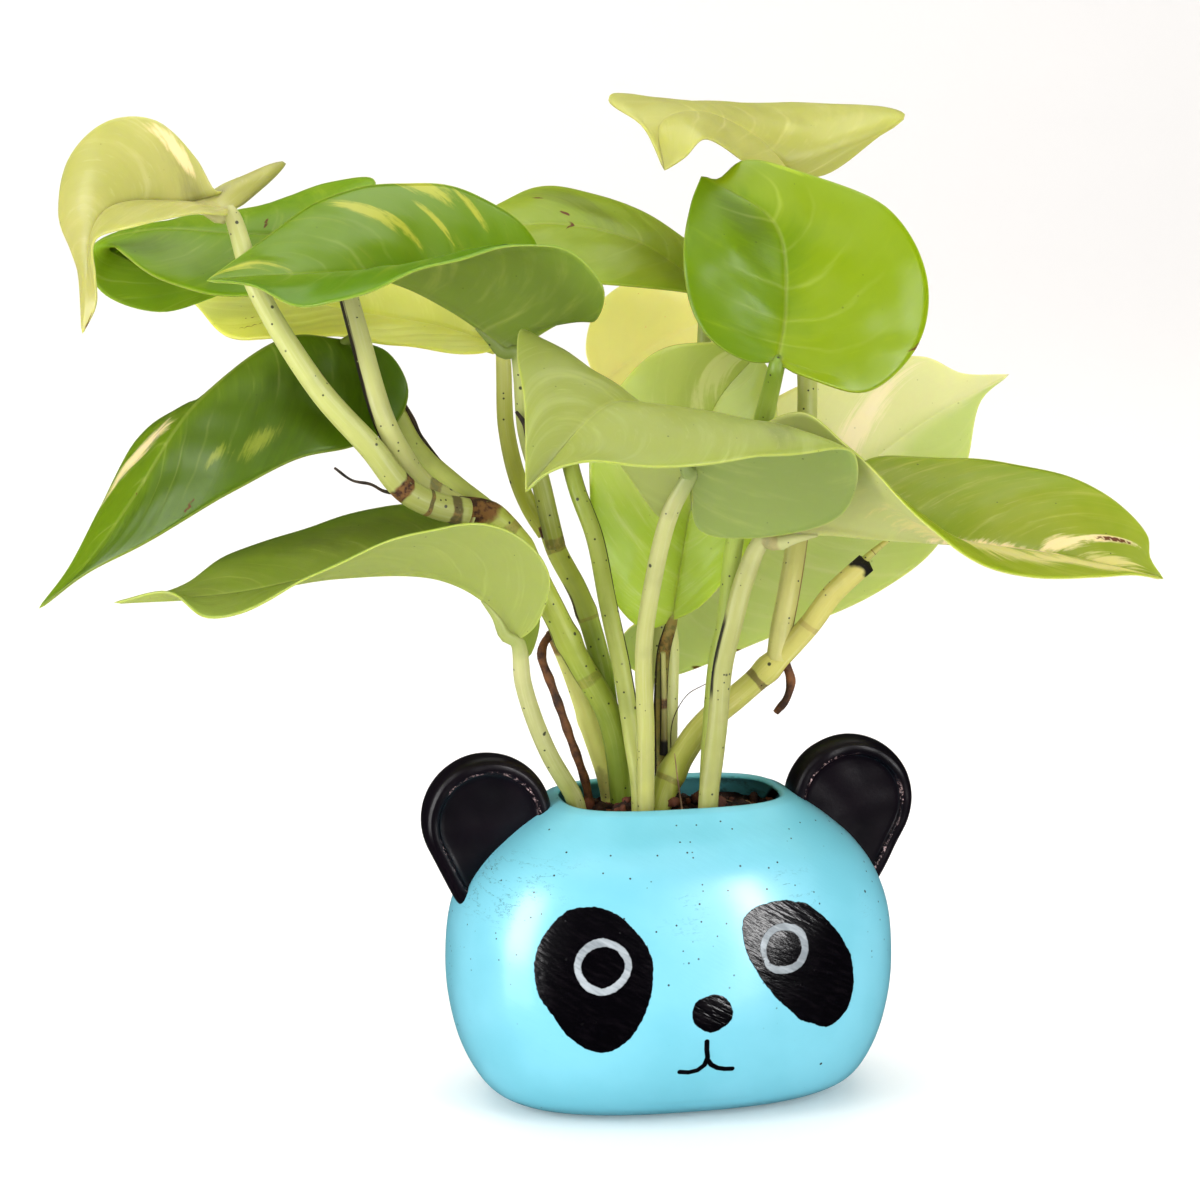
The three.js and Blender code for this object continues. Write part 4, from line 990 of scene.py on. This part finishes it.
bark = bark_look("root_bark", (52, 28, 12), (118, 72, 34))
dried = bark_look("dried_sheath", (16, 13, 10), (66, 50, 34))
strip = stalk_look("old_sheath", (96, 84, 40), (176, 172, 96), scars=((0.04, 0.12, 2), (0.5, 0.06, 0.9)),
    edges=[(-1, 0, 1, (26, 20, 12)), (1, 0.1, 0.9, (30, 22, 12))])
knobs = [(place, 1.6, 0.22) for place in range(4, 60, 6)]
for name, (line, radii) in ROOTS.items():
    skin = dried if name == "root_hair" else bark
    make_piece(name, [(*tube(line, radii, 16, 60, swell=knobs), skin)], [name])
for name, (line, radii) in SHEATHS.items():
    skin = strip if name == "sheath_middle" else dried
    make_piece(name, [(*tube(line, radii, 16, 40, flat=1.2), skin)], [name])

# The studio around it: a seamless white sweep, soft lights at both sides, in front, above and
# behind, two narrow ones that only draw the tall highlights on the pot, and the camera of the photo.
profile = smooth_line([(-1500, 0), (400, 0), (900, 0), (1300, 120), (1500, 500), (1550, 1500)],
    np.linspace(0, 1, 60))
across = np.linspace(-2200, 2200, 12)
grid = np.stack(np.broadcast_arrays(across[None, :], profile[:, :1], profile[:, 1:]), axis=-1)
sweep = bpy.data.meshes.new("sweep")
wide = len(across)
corner = (np.arange(len(profile) - 1)[:, None] * wide + np.arange(wide - 1)).ravel()
sweep.from_pydata(grid.reshape(-1, 3) * MM, [],
    np.stack([corner, corner + 1, corner + wide + 1, corner + wide], axis=-1).tolist())
sweep.shade_smooth()
paper = Finish("paper", {"Base Color": linear(250, 248, 246), "Roughness": 0.9, "Specular IOR Level": 0.1,
    "Emission Color": linear(255, 250, 248), "Emission Strength": 0.08})
sweep.materials.append(paper.material)
floor = bpy.data.objects.new("sweep", sweep)
bpy.context.scene.collection.objects.link(floor)
floor.visible_glossy = False


def aim(thing, place, azimuth, elevation):
    """Puts a light or the camera at a place in mm, looking along that azimuth and down by elevation."""
    a, e = np.radians(azimuth), np.radians(elevation)
    back = np.array([np.sin(a) * np.cos(e), -np.cos(a) * np.cos(e), np.sin(e)])
    right = np.array([np.cos(a), np.sin(a), 0])
    matrix = np.eye(4)
    matrix[:3, :3] = np.stack([right, np.cross(back, right), back], axis=-1)
    matrix[:3, 3] = np.array(place) * MM
    made = bpy.data.objects.new(thing.name, thing)
    made.matrix_world = Matrix(matrix.tolist())
    bpy.context.scene.collection.objects.link(made)
    return made


for name, place, azimuth, elevation, size, power in (
        ("light_left", (-1010, -370, 330), -70, 13, (0.42, 0.85), 9),
        ("light_right", (520, -930, 400), 29, 17, (0.34, 0.8), 6),
        ("light_above", (-150, -300, 1500), 0, 80, (1.2, 1.2), 8),
        ("light_front", (-350, -1350, 420), -15, 12, (1.2, 1.2), 5),
        ("light_back", (0, 500, 1500), 180, 50, (1.6, 0.8), 12),
        ("glint_left", (-1010, -370, 280), -70, 9, (0.5, 1.2), 13),
        ("glint_right", (490, -890, 480), 28.5, 21, (0.16, 0.9), 14)):
    lamp = bpy.data.lights.new(name, "AREA")
    lamp.shape, lamp.size, lamp.size_y, lamp.energy = "RECTANGLE", *size, power
    light = aim(lamp, place, azimuth, elevation)
    light.visible_glossy = name not in ("light_front", "light_right")
    light.visible_diffuse = not name.startswith("glint")
world = bpy.data.worlds.new("studio")
world.use_nodes = True
sky = world.node_tree.nodes["Background"]
sky.inputs["Color"].default_value = (1, 0.99, 0.98, 1)
rays = world.node_tree.nodes.new("ShaderNodeLightPath")
share = world.node_tree.nodes.new("ShaderNodeMapRange")
share.inputs["To Min"].default_value, share.inputs["To Max"].default_value = 0.42, 0.03
world.node_tree.links.new(rays.outputs["Is Glossy Ray"], share.inputs["Value"])
world.node_tree.links.new(share.outputs["Result"], sky.inputs["Strength"])
bpy.context.scene.world = world
bpy.context.scene.view_settings.view_transform = "Standard"
camera = bpy.data.cameras.new("camera")
camera.lens, camera.sensor_width, camera.clip_start = 119.4, 36, 0.05
bpy.context.scene.camera = aim(camera, (-208.99, -836.89, 279.83), -13, 11)
